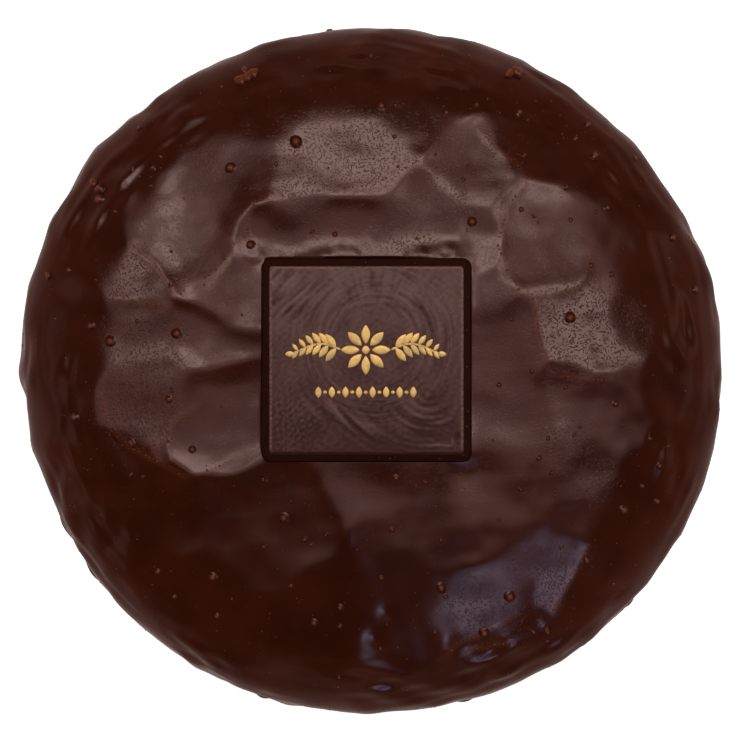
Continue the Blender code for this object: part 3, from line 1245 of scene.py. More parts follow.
    def surface(self, x: Array, y: Array) -> tuple[Array, Array]:
        """Find the finished surface above places in plan.

        Args:
            x: Places along X, in metres.
            y: Places along Y, in metres.

        Returns:
            The points on the coat and its unit normals there.
        """
        step = self.normal_step
        middles = []
        for east, north in ((0.0, 0.0), (step, 0.0), (0.0, step)):
            points = self.form.dome(x + east, y + north)
            relief, _ = self.heights(points)
            points = points + self.form.outward(points) * relief[..., None]
            points[..., 2] += self.lip(points)
            middles.append(points)
        normals = np.cross(middles[1] - middles[0], middles[2] - middles[0])
        return middles[0], normals / np.linalg.norm(normals, axis=-1, keepdims=True)

    def grain(self, points: Array) -> Array:
        """Return how strongly the coat is crinkled at each point, from 0 to 1.

        Args:
            points: Places as an array that ends in x, y, z, in metres.

        Returns:
            One strength for each point.
        """
        strength = np.zeros(points.shape[:-1])
        for patch in self.grain_patches:
            gap = np.hypot(points[..., 0] - patch.x * MM, points[..., 1] - patch.y * MM)
            fade = np.exp(-((gap / (patch.radius * MM)) ** 4))
            strength = np.maximum(strength, patch.amount * fade)
        return strength

    def dome_part(self, seat: Array, girth: Array) -> tuple[Array, Array]:
        """Return the loops from the seat's mouth to the girth, and their crest values.

        Args:
            seat: Points of the seat's mouth in plan.
            girth: Points of the girth in plan.

        Returns:
            The loops, and a crest value for each point.
        """
        steps = np.linspace(0.0, 1.0, self.dome_loops)
        shares = self.even_share * steps + (1.0 - self.even_share) * np.sin(steps * math.pi / 2.0)
        shares = np.insert(shares, 1, self.mouth_edge)
        plan = seat[None] + shares[:, None, None] * (girth - seat)[None]
        points = self.form.dome(plan[..., 0], plan[..., 1])
        relief, crest = self.heights(points)
        moved = points + self.form.outward(points) * relief[..., None]
        moved[..., 2] += self.lip(points)
        moved[0, :, :2] = seat
        return moved, crest

    def flank_part(self, girth: Array, angle: Array) -> tuple[Array, Array]:
        """Return the loops from under the girth to the underside's middle, and crest values.

        Args:
            girth: Points of the girth in plan.
            angle: Directions in plan, in radians.

        Returns:
            The loops, and a crest value for each point.
        """
        side = np.stack([np.cos(angle), np.sin(angle)], axis=-1)
        spill = np.zeros_like(angle)
        for one in self.spills:
            gap = np.degrees(angle) % 360.0 - one.angle
            spill += (one.reach + self.foot_inset) * np.exp(-((gap / one.width) ** 2))
        loops = []
        crests = []
        for fall in np.arange(1, self.flank_loops + 1) / self.flank_loops:
            height = self.foot_round + (self.form.girth_height - self.foot_round) * (1.0 - fall)
            inset = self.foot_inset * fall**2
            point = np.concatenate([girth - side * inset, np.full((len(angle), 1), height)], axis=-1)
            relief, crest = self.heights(point)
            spilt = np.clip((fall - self.spill_from) / self.spill_run, 0.0, 1.0)
            out = relief * (1.0 - self.foot_calm * fall) + spill * spilt
            point[:, :2] += side * out[:, None]
            loops.append(point)
            crests.append(crest)
        foot = loops[-1]
        for turn in np.radians(EDGE_STEPS):
            ring = foot.copy()
            ring[:, 2] = self.foot_round * (1.0 - math.sin(turn))
            ring[:, :2] -= side * self.foot_round * (1.0 - math.cos(turn))
            loops.append(ring)
            crests.append(np.zeros_like(angle))
        for share in self.underside_shares:
            ring = np.concatenate([foot[:, :2] * share, np.zeros((len(angle), 1))], axis=-1)
            loops.append(ring)
            crests.append(np.zeros_like(angle))
        return np.stack(loops), np.stack(crests)

    def build(self) -> bpy.types.Object:
        """Build the coat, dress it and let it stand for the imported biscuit.

        Returns:
            The finished piece.
        """
        gap = self.plaque.seat_gap
        seat = self.plaque.rim(self.around, gap, self.plaque.base_corner + gap)
        toward = seat - self.plaque.middle
        angle = np.arctan2(toward[:, 1], toward[:, 0])
        radius = self.form.outline(angle)
        girth = np.stack([radius * np.cos(angle), radius * np.sin(angle)], axis=-1)
        dome, dome_crest = self.dome_part(seat, girth)
        flank, flank_crest = self.flank_part(girth, angle)
        floor_height = self.plaque.low.z - self.seat_depth
        floor = np.concatenate([seat, np.full((self.around, 1), floor_height)], axis=-1)
        loops = np.concatenate([floor[None], dome, flank])
        crest = np.concatenate([np.zeros((1, self.around)), dome_crest, flank_crest])
        mesh = mesh_from_loops("chocolate_coat", loops)
        add_attribute(mesh, "crest", np.concatenate([crest.ravel(), np.zeros(2)]))
        add_attribute(mesh, "grain", np.concatenate([self.grain(loops).ravel(), np.zeros(2)]))
        mesh.materials.append(CoatFinish().material())
        item = show("chocolate_coat", mesh)
        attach(item, BODY)
        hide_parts(Node.BISCUIT.value)
        return item


# ---- plaque


@dataclass(frozen=True)
class Spot:
    """A soft oval place on the plaque's face: its middle and half sizes in millimetres."""

    middle: Pair
    size: Pair

    def at(self, x: Array, y: Array) -> Array:
        """Return how much of the spot is at each place.

        Args:
            x: Places along X, in metres.
            y: Places along Y, in metres.

        Returns:
            Shares from 0 to 1.
        """
        across = (x / MM - self.middle[0]) / self.size[0]
        along = (y / MM - self.middle[1]) / self.size[1]
        return np.exp(-(across**2) - along**2)


@dataclass
class Plaque:
    """The moulded plaque: drafted sides and a face with brushed arcs, streaks and flow lines."""

    form: PlaqueForm
    around: int = 640
    face_loops: int = 76
    side_loops: int = 8
    top_gap: float = 0.03 * MM
    edge_fall: float = 0.03 * MM
    edge_width: float = 0.24 * MM
    crown: float = 0.15 * MM
    edge_round: float = 0.12 * MM
    mark_depth: float = 0.016 * MM
    brush_centre: Pair = BRUSH_CENTRE
    arc_ripples: tuple[Ripples, ...] = (Ripples(1.5 * MM, 0.5, 51), Ripples(0.8 * MM, 0.55, 56))
    arc_run: float = 1.3 * MM
    arc_radius: float = 7.2 * MM
    arc_width: float = 3.6 * MM
    spoke_ripples: Ripples = Ripples(0.9 * MM, 0.7, 57)
    spoke_place: Spot = Spot((0.5, 11.5), (6.0, 2.6))
    spoke_run: float = 8.0 * MM
    spoke_drawn: float = 0.08
    streak_ripples: Ripples = Ripples(0.75 * MM, 1.5, 52)
    streak_place: Spot = Spot((-10.6, 9.8), (3.4, 3.8))
    streak_drawn: float = 0.12
    slant: float = 0.7071
    flow_ripples: Ripples = Ripples(1.1 * MM, 1.7, 53)
    flow_place: Spot = Spot((6.2, -1.2), (5.2, 1.5))
    flow_bow: float = 22.0
    flow_drawn: float = 0.10
    swirl_ripples: Ripples = Ripples(0.95 * MM, 1.1, 58)
    swirl_place: Spot = Spot((6.8, -6.6), (3.6, 3.2))
    swirl_flat: float = 1.25
    swirl_drawn: float = 0.12
    mottle_ripples: tuple[Ripples, ...] = (Ripples(0.8 * MM, 0.25, 54), Ripples(4.5 * MM, 0.25, 55))
    crumbled_ripples: Ripples = Ripples(0.6 * MM, 0.7, 59)
    crumbled_place: Spot = Spot((-10.5, -7.5), (3.2, 4.0))
    single_marks: tuple[tuple[float, Spot], ...] = (
        (-3.0, Spot((11.05, -8.5), (0.35, 0.35))),
        (2.6, Spot((8.8, -9.7), (1.7, 0.16))),
        (2.4, Spot((10.4, -9.1), (0.16, 0.5))),
    )
    flow_foot: Pair = (1.6 * MM, -10.4 * MM)
    flow_way: Pair = (-0.87, 0.50)
    swirl_centre: Pair = (7.3 * MM, -3.2 * MM)
    edge_share: float = 0.4

    def edge_light(self, points: Array) -> Array:
        """Return how much painted highlight lies on the face's edge: most at the sides, little above, none
        below.

        Args:
            points: Places as an array that ends in x, y, z, in metres.

        Returns:
            Shares from 0 to 1.
        """
        north = (points[..., 1] - self.form.middle[1]) / self.form.half_base[1]
        side = np.clip((0.90 - np.abs(north)) / 0.04, 0.0, 1.0)
        return np.maximum(side, 0.35 * (north > 0.0))

    def brushed(self, x: Array, y: Array) -> Array:
        """Return the face's marks at each place, in units of one usual mark.

        Args:
            x: Places along X.
            y: Places along Y.

        Returns:
            Heights of about -2 to 2.
        """
        away_x = x - self.brush_centre[0]
        away_y = y - self.brush_centre[1]
        radius = np.hypot(away_x, away_y)
        angle = np.arctan2(away_y, away_x)
        polar = np.stack([radius, angle * self.arc_run], axis=-1)
        ring = np.exp(-(((radius - self.arc_radius) / self.arc_width) ** 2))
        arcs = sum(ripples.at(polar) for ripples in self.arc_ripples) * ring
        arcs *= np.clip(0.55 + 0.6 * np.sin(angle + 0.4), 0.25, 1.0)
        spokes = np.stack([radius * self.spoke_drawn, angle * self.spoke_run], axis=-1)
        arcs += self.spoke_ripples.at(spokes) * self.spoke_place.at(x, y)
        diagonal = np.stack([(x - y) * self.slant, (x + y) * self.slant * self.streak_drawn], axis=-1)
        streaks = self.streak_ripples.at(diagonal) * self.streak_place.at(x, y)
        foot_x, foot_y = x - self.flow_foot[0], y - self.flow_foot[1]
        fan_x = foot_x * self.flow_way[0] + foot_y * self.flow_way[1]
        fan_y = foot_y * self.flow_way[0] - foot_x * self.flow_way[1]
        bowed = np.stack([fan_y + self.flow_bow * fan_x**2, fan_x * self.flow_drawn], axis=-1)
        flow = self.flow_ripples.at(bowed) * self.flow_place.at(fan_x, fan_y)
        across, along = x - self.swirl_centre[0], y - self.swirl_centre[1]
        from_swirl = np.hypot(across, along * self.swirl_flat)
        below = np.stack([from_swirl, (x + y) * self.swirl_drawn], axis=-1)
        rings = self.swirl_ripples.at(below) * self.swirl_place.at(x, y)
        places = np.stack([x, y], axis=-1)
        mottle = sum(ripples.at(places) for ripples in self.mottle_ripples)
        crumbled = self.crumbled_ripples.at(places) * self.crumbled_place.at(x, y)
        marks = sum(height * place.at(x, y) for height, place in self.single_marks)
        return arcs + streaks + flow + rings + mottle + crumbled + marks

    def crowned(self, y: Array) -> Array:
        """Return the bare face's height: a very low crown across the plaque."""
        across = (y - self.form.middle[1]) / self.form.half_base[1]
        return self.form.high.z - self.top_gap - self.crown * across**2

    def face_height(self, plan: Array, share: float) -> Array:
        """Return the face's height over points on the loop at a share of its half width.

        Args:
            plan: Points of the loop in plan.
            share: The loop's share of the face's half width.

        Returns:
            One height for each point, in metres.
        """
        inside = (1.0 - share) * (self.form.half_base[0] - self.form.draft)
        slope = np.clip(1.0 - inside / self.edge_width, 0.0, 1.0)
        marks = self.mark_depth * self.brushed(plan[:, 0], plan[:, 1]) * (1.0 - slope)
        return self.crowned(plan[:, 1]) + marks - self.edge_fall * slope

    def loops(self) -> tuple[Array, Array]:
        """Return the loops from the face's middle to the foot, and how much of the face each is.

        Returns:
            The loops, and one share of face for each loop.
        """
        form = self.form
        loops = []
        face = []
        full = form.rim(self.around, -form.draft, form.top_corner)
        wide = np.linspace(0.012, 0.975, self.face_loops)
        for share in np.concatenate([wide, np.linspace(0.980, 1.0, 5)]):
            plan = form.middle + (full - form.middle) * share
            loops.append(np.column_stack([plan, self.face_height(plan, share)]))
            face.append(1.0 if share < 0.98 else self.edge_share)
        edge = self.crowned(full[:, 1]) - self.edge_fall
        for turn in np.radians(EDGE_STEPS):
            out = self.edge_round * math.sin(turn)
            plan = form.rim(self.around, out - form.draft, form.top_corner + out)
            loops.append(np.column_stack([plan, edge - self.edge_round * (1.0 - math.cos(turn))]))
            face.append(0.3 * math.cos(turn))
        top = edge - self.edge_round
        foot = form.low.z + 1.0 * MM
        for share in np.linspace(0.0, 1.0, self.side_loops)[1:]:
            grow = (self.edge_round - form.draft) * (1.0 - share) ** 1.25
            corner = form.top_corner + (form.base_corner - form.top_corner) * share
            plan = form.rim(self.around, grow, corner)
            loops.append(np.column_stack([plan, top + (foot - top) * share]))
            face.append(0.0)
        loops.append(np.column_stack([plan, np.full(self.around, form.low.z + 0.02 * MM)]))
        face.append(0.0)
        return np.stack(loops), np.array(face)

    def build(self) -> bpy.types.Object:
        """Build the plaque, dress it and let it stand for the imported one.

        Returns:
            The finished piece.
        """
        loops, face = self.loops()
        mesh = mesh_from_loops("moulded_plaque", loops)
        marks = self.brushed(loops[..., 0], loops[..., 1]).ravel()
        add_attribute(mesh, "brushed", np.concatenate([marks, np.zeros(2)]))
        add_attribute(mesh, "face", np.concatenate([np.repeat(face, self.around), [1.0, 0.0]]))
        # The edge attribute marks where the painted highlight lies on the face's edge.
        edge = (np.abs(face - self.edge_share) < 0.2).astype(float)[:, None] * self.edge_light(loops)
        add_attribute(mesh, "edge", np.concatenate([edge.ravel(), np.zeros(2)]))
        mesh.materials.append(PlaqueFinish().material())
        item = show("moulded_plaque", mesh)
        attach(item, BODY)
        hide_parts(Node.PLAQUE.value)
        return item


# ---- copies by Geometry Nodes


class Recipe:
    """A Geometry Nodes tree under construction that ends in realized copies with a material."""

    def __init__(self, name: str) -> None:
        """Start a tree with the inputs that every tree here has.

        Args:
            name: The tree's name.
        """
        self.tree = bpy.data.node_groups.new(name, "GeometryNodeTree")
        faces = self.tree.interface
        faces.new_socket("Geometry", in_out="OUTPUT", socket_type="NodeSocketGeometry")
        faces.new_socket("Geometry", in_out="INPUT", socket_type="NodeSocketGeometry")
        faces.new_socket("Shape", in_out="INPUT", socket_type="NodeSocketObject")
        faces.new_socket("Material", in_out="INPUT", socket_type="NodeSocketMaterial")

    def number(self, name: str, value: float, kind: str = "NodeSocketFloat") -> None:
        """Add a named number input with its usual value.

        Args:
            name: The input's name.
            value: Its usual value.
            kind: The socket's type.
        """
        socket = self.tree.interface.new_socket(name, in_out="INPUT", socket_type=kind)
        socket.default_value = value

    def start(self) -> bpy.types.NodeOutputs:
        """Return the outputs of the tree's input node, once all inputs are named."""
        return self.tree.nodes.new("NodeGroupInput").outputs

    def add(self, kind: str, wires: dict | None = None, **settings: str) -> bpy.types.Node:
        """Add a node.

        Args:
            kind: The node's type.
            wires: For each input, by name or index, a socket to link or a value to set.
            **settings: The node's own properties.

        Returns:
            The new node.
        """
        node = self.tree.nodes.new(kind)
        for key, value in settings.items():
            setattr(node, key, value)
        for key, value in (wires or {}).items():
            if isinstance(value, Socket):
                self.tree.links.new(value, node.inputs[key])
            else:
                node.inputs[key].default_value = value
        return node

    def named(self, name: str, kind: str) -> Socket:
        """Return a named attribute of the points."""
        node = self.add("GeometryNodeInputNamedAttribute", {"Name": name}, data_type=kind)
        return node.outputs["Attribute"]

    def finish(
        self,
        given: bpy.types.NodeOutputs,
        points: Socket,
        turn: Socket,
        size: Socket,
    ) -> bpy.types.NodeTree:
        """Put the shape on the points, realize the copies and dress them.

        Args:
            given: Outputs of the tree's input node.
            points: Socket with the points.
            turn: Socket with each copy's turn.
            size: Socket with each copy's size.

        Returns:
            The finished tree.
        """
        shape = self.add("GeometryNodeObjectInfo", {"Object": given["Shape"]})
        wires = {"Points": points, "Instance": shape.outputs["Geometry"], "Rotation": turn, "Scale": size}
        copies = self.add("GeometryNodeInstanceOnPoints", wires)
        real = self.add("GeometryNodeRealizeInstances", {"Geometry": copies.outputs["Instances"]})
        wires = {"Geometry": real.outputs["Geometry"], "Material": given["Material"]}
        dressed = self.add("GeometryNodeSetMaterial", wires)
        self.add("NodeGroupOutput", {"Geometry": dressed.outputs["Geometry"]})
        return self.tree


def placed_copies() -> bpy.types.NodeTree:
    """Return a tree that puts a copy on each point, turned and sized by the point's attributes.

    Returns:
        The tree.
    """
    recipe = Recipe("placed_copies")
    given = recipe.start()
    turn = recipe.named("turn", "FLOAT_VECTOR")
    size = recipe.named("size", "FLOAT_VECTOR")
    return recipe.finish(given, given["Geometry"], turn, size)


def copies_along() -> bpy.types.NodeTree:
    """Return a tree that strews copies of uneven size along the edges of a mesh.

    Returns:
        The tree.
    """
    recipe = Recipe("copies_along")
    recipe.number("Spacing", 1.0 * MM)
    recipe.number("Smallest", 0.1 * MM)
    recipe.number("Largest", 0.2 * MM)
    recipe.number("Kept", 0.6)
    recipe.number("Seed", 1, "NodeSocketInt")
    given = recipe.start()
    curve = recipe.add("GeometryNodeMeshToCurve", {"Mesh": given["Geometry"]})
    wires = {"Curve": curve.outputs["Curve"], "Length": given["Spacing"]}
    steps = recipe.add("GeometryNodeResampleCurve", wires, mode="LENGTH")
    points = recipe.add("GeometryNodeCurveToPoints", {"Curve": steps.outputs["Curve"]}, mode="EVALUATED")
    wires = {"Seed": given["Seed"], "Probability": given["Kept"]}
    kept = recipe.add("FunctionNodeRandomValue", wires, data_type="BOOLEAN")
    dropped = recipe.add("FunctionNodeBooleanMath", {0: kept.outputs[3]}, operation="NOT")
    wires = {"Geometry": points.outputs["Points"], "Selection": dropped.outputs["Boolean"]}
    left = recipe.add("GeometryNodeDeleteGeometry", wires, domain="POINT")
    wires = {2: given["Smallest"], 3: given["Largest"], "Seed": given["Seed"]}
    size = recipe.add("FunctionNodeRandomValue", wires, data_type="FLOAT")
    upright = recipe.add("FunctionNodeAlignRotationToVector", {"Vector": (0.0, 0.0, 1.0)}, axis="Z")
    return recipe.finish(given, left.outputs["Geometry"], upright.outputs["Rotation"], size.outputs[1])


def copies_over(lowest: float = 2.0 * MM) -> bpy.types.NodeTree:
    """Return a tree that strews copies of uneven size over a surface.

    Args:
        lowest: No copy lies lower than this, in metres.

    Returns:
        The tree.
    """
    recipe = Recipe("copies_over")
    recipe.number("Density", 40000.0)
    recipe.number("Smallest", 0.05 * MM)
    recipe.number("Largest", 0.15 * MM)
    recipe.number("Seed", 1, "NodeSocketInt")
    recipe.tree.interface.new_socket("Surface", in_out="INPUT", socket_type="NodeSocketObject")
    given = recipe.start()
    surface = recipe.add("GeometryNodeObjectInfo", {"Object": given["Surface"]})
    place = recipe.add("GeometryNodeInputPosition")
    height = recipe.add("ShaderNodeSeparateXYZ", {"Vector": place.outputs["Position"]})
    wires = {0: height.outputs["Z"], 1: lowest}
    above = recipe.add("FunctionNodeCompare", wires, operation="GREATER_THAN")
    wires = {
        "Mesh": surface.outputs["Geometry"],
        "Selection": above.outputs["Result"],
        "Density": given["Density"],
        "Seed": given["Seed"],
    }
    points = recipe.add("GeometryNodeDistributePointsOnFaces", wires)
    wires = {2: given["Smallest"], 3: given["Largest"], "Seed": given["Seed"]}
    size = recipe.add("FunctionNodeRandomValue", wires, data_type="FLOAT")
    return recipe.finish(given, points.outputs["Points"], points.outputs["Rotation"], size.outputs[1])


def points_mesh(name: str, places: Array, turns: Array, sizes: Array) -> bpy.types.Object:
    """Return an object of loose points that carry the turn and size of the copies to come.

    Args:
        name: The object's name.
        places: The points.
        turns: Their turns, as Euler angles.
        sizes: Their sizes along three axes.

    Returns:
        The object.
    """
    mesh = bpy.data.meshes.new(name)
    mesh.from_pydata([tuple(map(float, place)) for place in places], [], [])
    add_attribute(mesh, "turn", turns)
    add_attribute(mesh, "size", sizes)
    return show(name, mesh)


def grow(
    name: str, base: bpy.types.Object, tree: bpy.types.NodeTree, values: dict[str, object]
) -> bpy.types.Mesh:
    """Run a tree on an object and keep what it makes as a plain mesh.

    Args:
        name: Name of the new mesh.
        base: The object that the tree starts from, which is used up.
        tree: The tree.
        values: Values for the tree's named inputs.

    Returns:
        The finished mesh.
    """
    modifier = base.modifiers.new(name, "NODES")
    modifier.node_group = tree
    for socket in tree.interface.items_tree:
        if socket.in_out == "INPUT" and socket.name in values:
            modifier[socket.identifier] = values[socket.name]
    graph = bpy.context.evaluated_depsgraph_get()
    mesh = bpy.data.meshes.new_from_object(base.evaluated_get(graph))
    mesh.name = name
    base.modifiers.remove(modifier)
    bpy.data.objects.remove(base)
    return mesh


def joined(name: str, meshes: list[bpy.types.Mesh]) -> bpy.types.Mesh:
    """Join plain meshes of one material into one mesh.

    Args:
        name: The new mesh's name.
        meshes: The meshes, which are used up.

    Returns:
        The joined mesh.
    """
    items = [show(name, mesh) for mesh in meshes]
    with bpy.context.temp_override(active_object=items[0], selected_editable_objects=items):
        bpy.ops.object.join()
    mesh = items[0].data
    bpy.data.objects.remove(items[0])
    return mesh


# ---- bumps and crumbs in the coat


@dataclass(frozen=True)
class Bump:
    """A bump where the coat runs over a bit of nut: its place and width in millimetres."""

    x: float
    y: float
    width: float
    squeeze: float = 1.0


BUMPS = tuple(
    Bump(*row)
    for row in (
        (-9.7, 29.5, 1.2), (-18.2, 26.2, 1.1), (-35.3, 23.6, 1.2), (-35.3, 22.2, 1.3),
        (-36.3, 5.8, 0.9), (-33.7, 3.8, 1.1), (-25.1, 4.8, 1.1), (29.0, 27.9, 1.0),
        (25.6, 6.8, 1.1), (39.0, 17.2, 0.9), (42.0, 10.5, 0.9), (-38.3, -6.0, 1.0),
        (-31.0, -9.3, 1.2, 0.6), (-26.1, -3.7, 0.8), (-23.1, -10.2, 0.8), (-11.3, -19.0, 1.0),
        (-20.5, -26.7, 1.0), (32.6, -18.0, 1.0), (9.0, -28.0, 1.2, 0.7), (17.9, -29.2, 1.1),
        (14.6, -33.9, 1.0), (13.0, 19.2, 1.0), (-15.6, 16.2, 0.9), (1.3, 34.1, 0.9),
        (9.7, 33.2, 0.7), (19.2, 33.4, 0.8), (28.0, 31.8, 0.8), (34.2, 27.5, 0.7),
        (-28.2, 26.2, 0.6), (-30.0, 31.4, 0.6), (-39.1, 13.0, 0.7), (-8.6, -21.8, 0.6),
        (-7.8, -22.5, 0.5), (-27.6, -26.0, 0.7), (-20.0, -31.8, 0.7), (-25.5, -29.3, 0.6),
        (-7.4, -32.6, 0.8), (-4.0, -30.6, 0.7), (3.2, -13.8, 0.7), (2.7, -20.5, 0.6),
        (31.5, -4.3, 0.7), (21.6, -11.3, 0.6), (37.2, -12.3, 0.7), (37.0, -16.9, 0.7),
        (27.8, -24.5, 0.7), (31.0, 12.4, 0.6), (25.2, 23.7, 0.6), (30.5, 21.0, 0.7),
        (3.0, 30.2, 0.5), (-4.7, 17.6, 0.6),
    )
)
CRUMBS = tuple(
    Bump(*row)
    for row in (
        (-16.9, 37.6, 1.1), (-16.0, 37.9, 1.2, 0.7), (-15.2, 38.5, 1.0), (-16.3, 38.8, 0.9, 0.6),
        (17.9, 38.3, 1.2, 0.6), (18.8, 38.5, 1.3, 0.7), (-35.9, 24.3, 0.8), (-41.8, 12.3, 0.8, 0.7),
        (22.7, -33.6, 0.9, 0.5),
    )
)


# Beads of coat on the plaque's sides, as x, y and width in millimetres.
SIDE_BEADS = (
    (12.3, 5.2, 0.54),
    (12.3, 0.5, 0.61),
    (12.4, -5.3, 0.61),
    (12.3, -7.2, 0.68),
    (12.4, 9.4, 0.41),
    (-0.75, 13.9, 0.57),
    (5.6, 13.8, 0.38),
    (1.0, -11.2, 0.47),
    (2.4, -11.3, 0.61),
    (3.1, -11.1, 0.47),
    (8.8, -11.3, 0.54),
    (11.8, -10.9, 0.54),
    (-13.6, 8.0, 0.41),
    (-13.6, -2.4, 0.43),
)


@dataclass(frozen=True)
class BumpShape:
    """A unit bump: a flared foot, a rounded top and a closed underside."""

    sides: int
    profile: tuple[Pair, ...]

    def build(self) -> bpy.types.Object:
        """Turn the profile, given as (radius, height) from the top down, into a shape.

        Returns:
            The shape, for copies to be made of.
        """
        turns = np.arange(self.sides) / self.sides * 2.0 * math.pi
        loops = [
            np.column_stack([radius * np.cos(turns), radius * np.sin(turns), np.full(self.sides, height)])
            for radius, height in self.profile
        ]
        mesh = mesh_from_loops("bump_shape", np.stack(loops))
        heights = np.array([vertex.co.z for vertex in mesh.vertices])
        add_attribute(mesh, "tip", np.clip(heights / heights.max(), 0.0, 1.0))
        return show("bump_shape", mesh)


PIMPLE = ((0.13, 0.34), (0.31, 0.21), (0.50, 0.09), (0.74, 0.025), (1.0, -0.04))
BIG_BUMP = BumpShape(11, PIMPLE)
BEAD = BumpShape(7, ((0.30, 0.62), (0.75, 0.40), (1.0, -0.15)))


@dataclass
class Specks:
    """Everything small that shows through the coat: bumps, crumbs, and beads along crests."""

    coat: Coat
    surface: bpy.types.Object
    bumps: tuple[Bump, ...] = BUMPS
    crumbs: tuple[Bump, ...] = CRUMBS
    strewn: int = 110
    strewn_reach: float = 43.0 * MM
    sink: float = 0.02 * MM
    seed: int = 77
    flare: float = 1.85
    crumb_lumps: Ripples = Ripples(1.2, 0.10, 61)
    beads: tuple[tuple[float, float, float], ...] = SIDE_BEADS
    side_height: float = 1.7 * MM
    crest_step: float = 0.3 * MM

    def strewn_bumps(self) -> list[Bump]:
        """Return small bumps strewn over the dome, clear of the plaque.

        Returns:
            The bumps.
        """
        source = np.random.default_rng(self.seed)
        found = []
        while len(found) < self.strewn:
            angle = source.uniform(0.0, 2.0 * math.pi)
            radius = self.strewn_reach * math.sqrt(source.uniform(0.12, 1.0))
            x, y = radius * math.cos(angle), radius * math.sin(angle)
            width = source.uniform(0.28, 0.62)
            squeeze = source.uniform(0.6, 1.0)
            if self.coat.plaque.outside(np.array([x]), np.array([y]))[0] > 1.0 * MM:
                found.append(Bump(x / MM, y / MM, width, squeeze))
        return found

    def places(self, name: str, bumps: list[Bump], tall: float) -> bpy.types.Object:
        """Return the bumps' points on the surface, each with its turn and size.

        Args:
            name: The new object's name.
            bumps: The bumps.
            tall: Height of a bump against its width.

        Returns:
            The object that carries the points.
        """
        source = np.random.default_rng(self.seed + len(bumps))
        x = np.array([bump.x for bump in bumps]) * MM
        y = np.array([bump.y for bump in bumps]) * MM
        points, normals = self.coat.surface(x, y)
        spins = source.uniform(0.0, math.pi, len(bumps))
        turns = []
        for normal, spin in zip(normals, spins):
            upright = Vector(normal).to_track_quat("Z", "Y").to_matrix()
            turn = upright @ Euler((0.0, 0.0, spin)).to_matrix()
            turns.append(tuple(turn.to_euler()))
        half = np.array([bump.width for bump in bumps]) * MM * self.flare / 2.0
        squeeze = np.array([bump.squeeze for bump in bumps])
        height = half * tall * source.uniform(0.8, 1.2, len(bumps))
        sizes = np.column_stack([half, half * squeeze, height])
        return points_mesh(name, points - normals * self.sink, np.array(turns), sizes)

    def crumb_shape(self) -> bpy.types.Object:
        """Return a lumpy crumb.

        Returns:
            The shape, for copies to be made of.
        """
        maker = bmesh.new()
        bmesh.ops.create_icosphere(maker, subdivisions=3, radius=0.8)
        mesh = bpy.data.meshes.new("crumb_shape")
        maker.to_mesh(mesh)
        maker.free()
        points = np.array([vertex.co for vertex in mesh.vertices])
        lumps = 1.0 + self.crumb_lumps.at(points)
        mesh.vertices.foreach_set("co", (points * lumps[:, None]).astype(np.float32).ravel())
        mesh.shade_smooth()
        add_attribute(mesh, "tip", np.clip(points[:, 2] * 0.6 + 0.3, 0.0, 0.8))
        return show("crumb_shape", mesh)

    def side_beads(self) -> bpy.types.Object:
        """Return the points of the beads that cling to the plaque's sides.

        Returns:
            The object that carries the points.
        """
        plaque = self.coat.plaque
        turns = []
        places = []
        for x, y, _ in self.beads:
            over = np.array([x, y]) * MM - plaque.middle
            inset = plaque.half_base - np.abs(over)
            across = int(np.argmin(inset))
            way = Vector((0.0, 0.0, 0.5))
            way[across] = math.copysign(1.0, over[across])
            share = 1.0 - min(max(inset[across] / plaque.draft, 0.0), 1.0) ** 0.8
            height = plaque.high.z - 0.2 * MM - share * self.side_height
            places.append((x * MM, y * MM, height))
            turns.append(tuple(way.to_track_quat("Z", "Y").to_euler()))
        half = np.array([bead[2] for bead in self.beads]) * MM / 2.0
        return points_mesh("side_beads", np.array(places), np.array(turns), np.column_stack([half] * 3))

    def crest_lines(self) -> bpy.types.Object:
        """Return the crests as chains of points on the surface.

        Returns:
            The object that carries the chains.
        """
        points = []
        edges = []
        for crest in self.coat.crests:
            places = np.array(crest.places) * MM
            runs = np.linalg.norm(np.diff(places, axis=0), axis=1)
            lengths = np.concatenate([[0.0], np.cumsum(runs)])
            steps = np.arange(0.0, lengths[-1], self.crest_step)
            x = np.interp(steps, lengths, places[:, 0])
            y = np.interp(steps, lengths, places[:, 1])
            first = len(points)
            points.extend(self.coat.surface(x, y)[0])
            edges.extend((index, index + 1) for index in range(first, len(points) - 1))
        mesh = bpy.data.meshes.new("crest_lines")
        mesh.from_pydata([tuple(map(float, point)) for point in points], edges, [])
        return show("crest_lines", mesh)

    def build(self) -> bpy.types.Object:
        """Make all of them, in one piece.

        Returns:
            The finished piece.
        """
        material = BumpFinish().material()
        big, bead, crumb = BIG_BUMP.build(), BEAD.build(), self.crumb_shape()
        stamp = placed_copies()
        bumps = list(self.bumps) + self.strewn_bumps()
        base = self.places("bump_places", bumps, 1.0)
        meshes = [grow("bumps", base, stamp, {"Shape": big, "Material": material})]
        base = self.places("crumb_places", list(self.crumbs), 0.8)
        meshes.append(grow("crumbs", base, stamp, {"Shape": crumb, "Material": material}))
        along = {"Shape": bead, "Material": material, "Spacing": 0.55 * MM, "Kept": 0.5, "Seed": 5}
        along |= {"Smallest": 0.09 * MM, "Largest": 0.20 * MM}
        meshes.append(grow("crest_beads", self.crest_lines(), copies_along(), along))
        over = {"Shape": bead, "Material": material, "Surface": self.surface, "Density": 90000.0, "Seed": 9}
        over |= {"Smallest": 0.06 * MM, "Largest": 0.13 * MM}
        base = points_mesh("strewn", np.zeros((0, 3)), np.zeros((0, 3)), np.zeros((0, 3)))
        meshes.append(grow("specks", base, copies_over(), over))
        meshes.append(grow("side_beads", self.side_beads(), stamp, {"Shape": big, "Material": material}))
        for shape in (big, bead, crumb):
            bpy.data.objects.remove(shape)
        item = show("nut_bumps", joined("nut_bumps", meshes))
        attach(item, BODY)
        return item


# ---- gold print


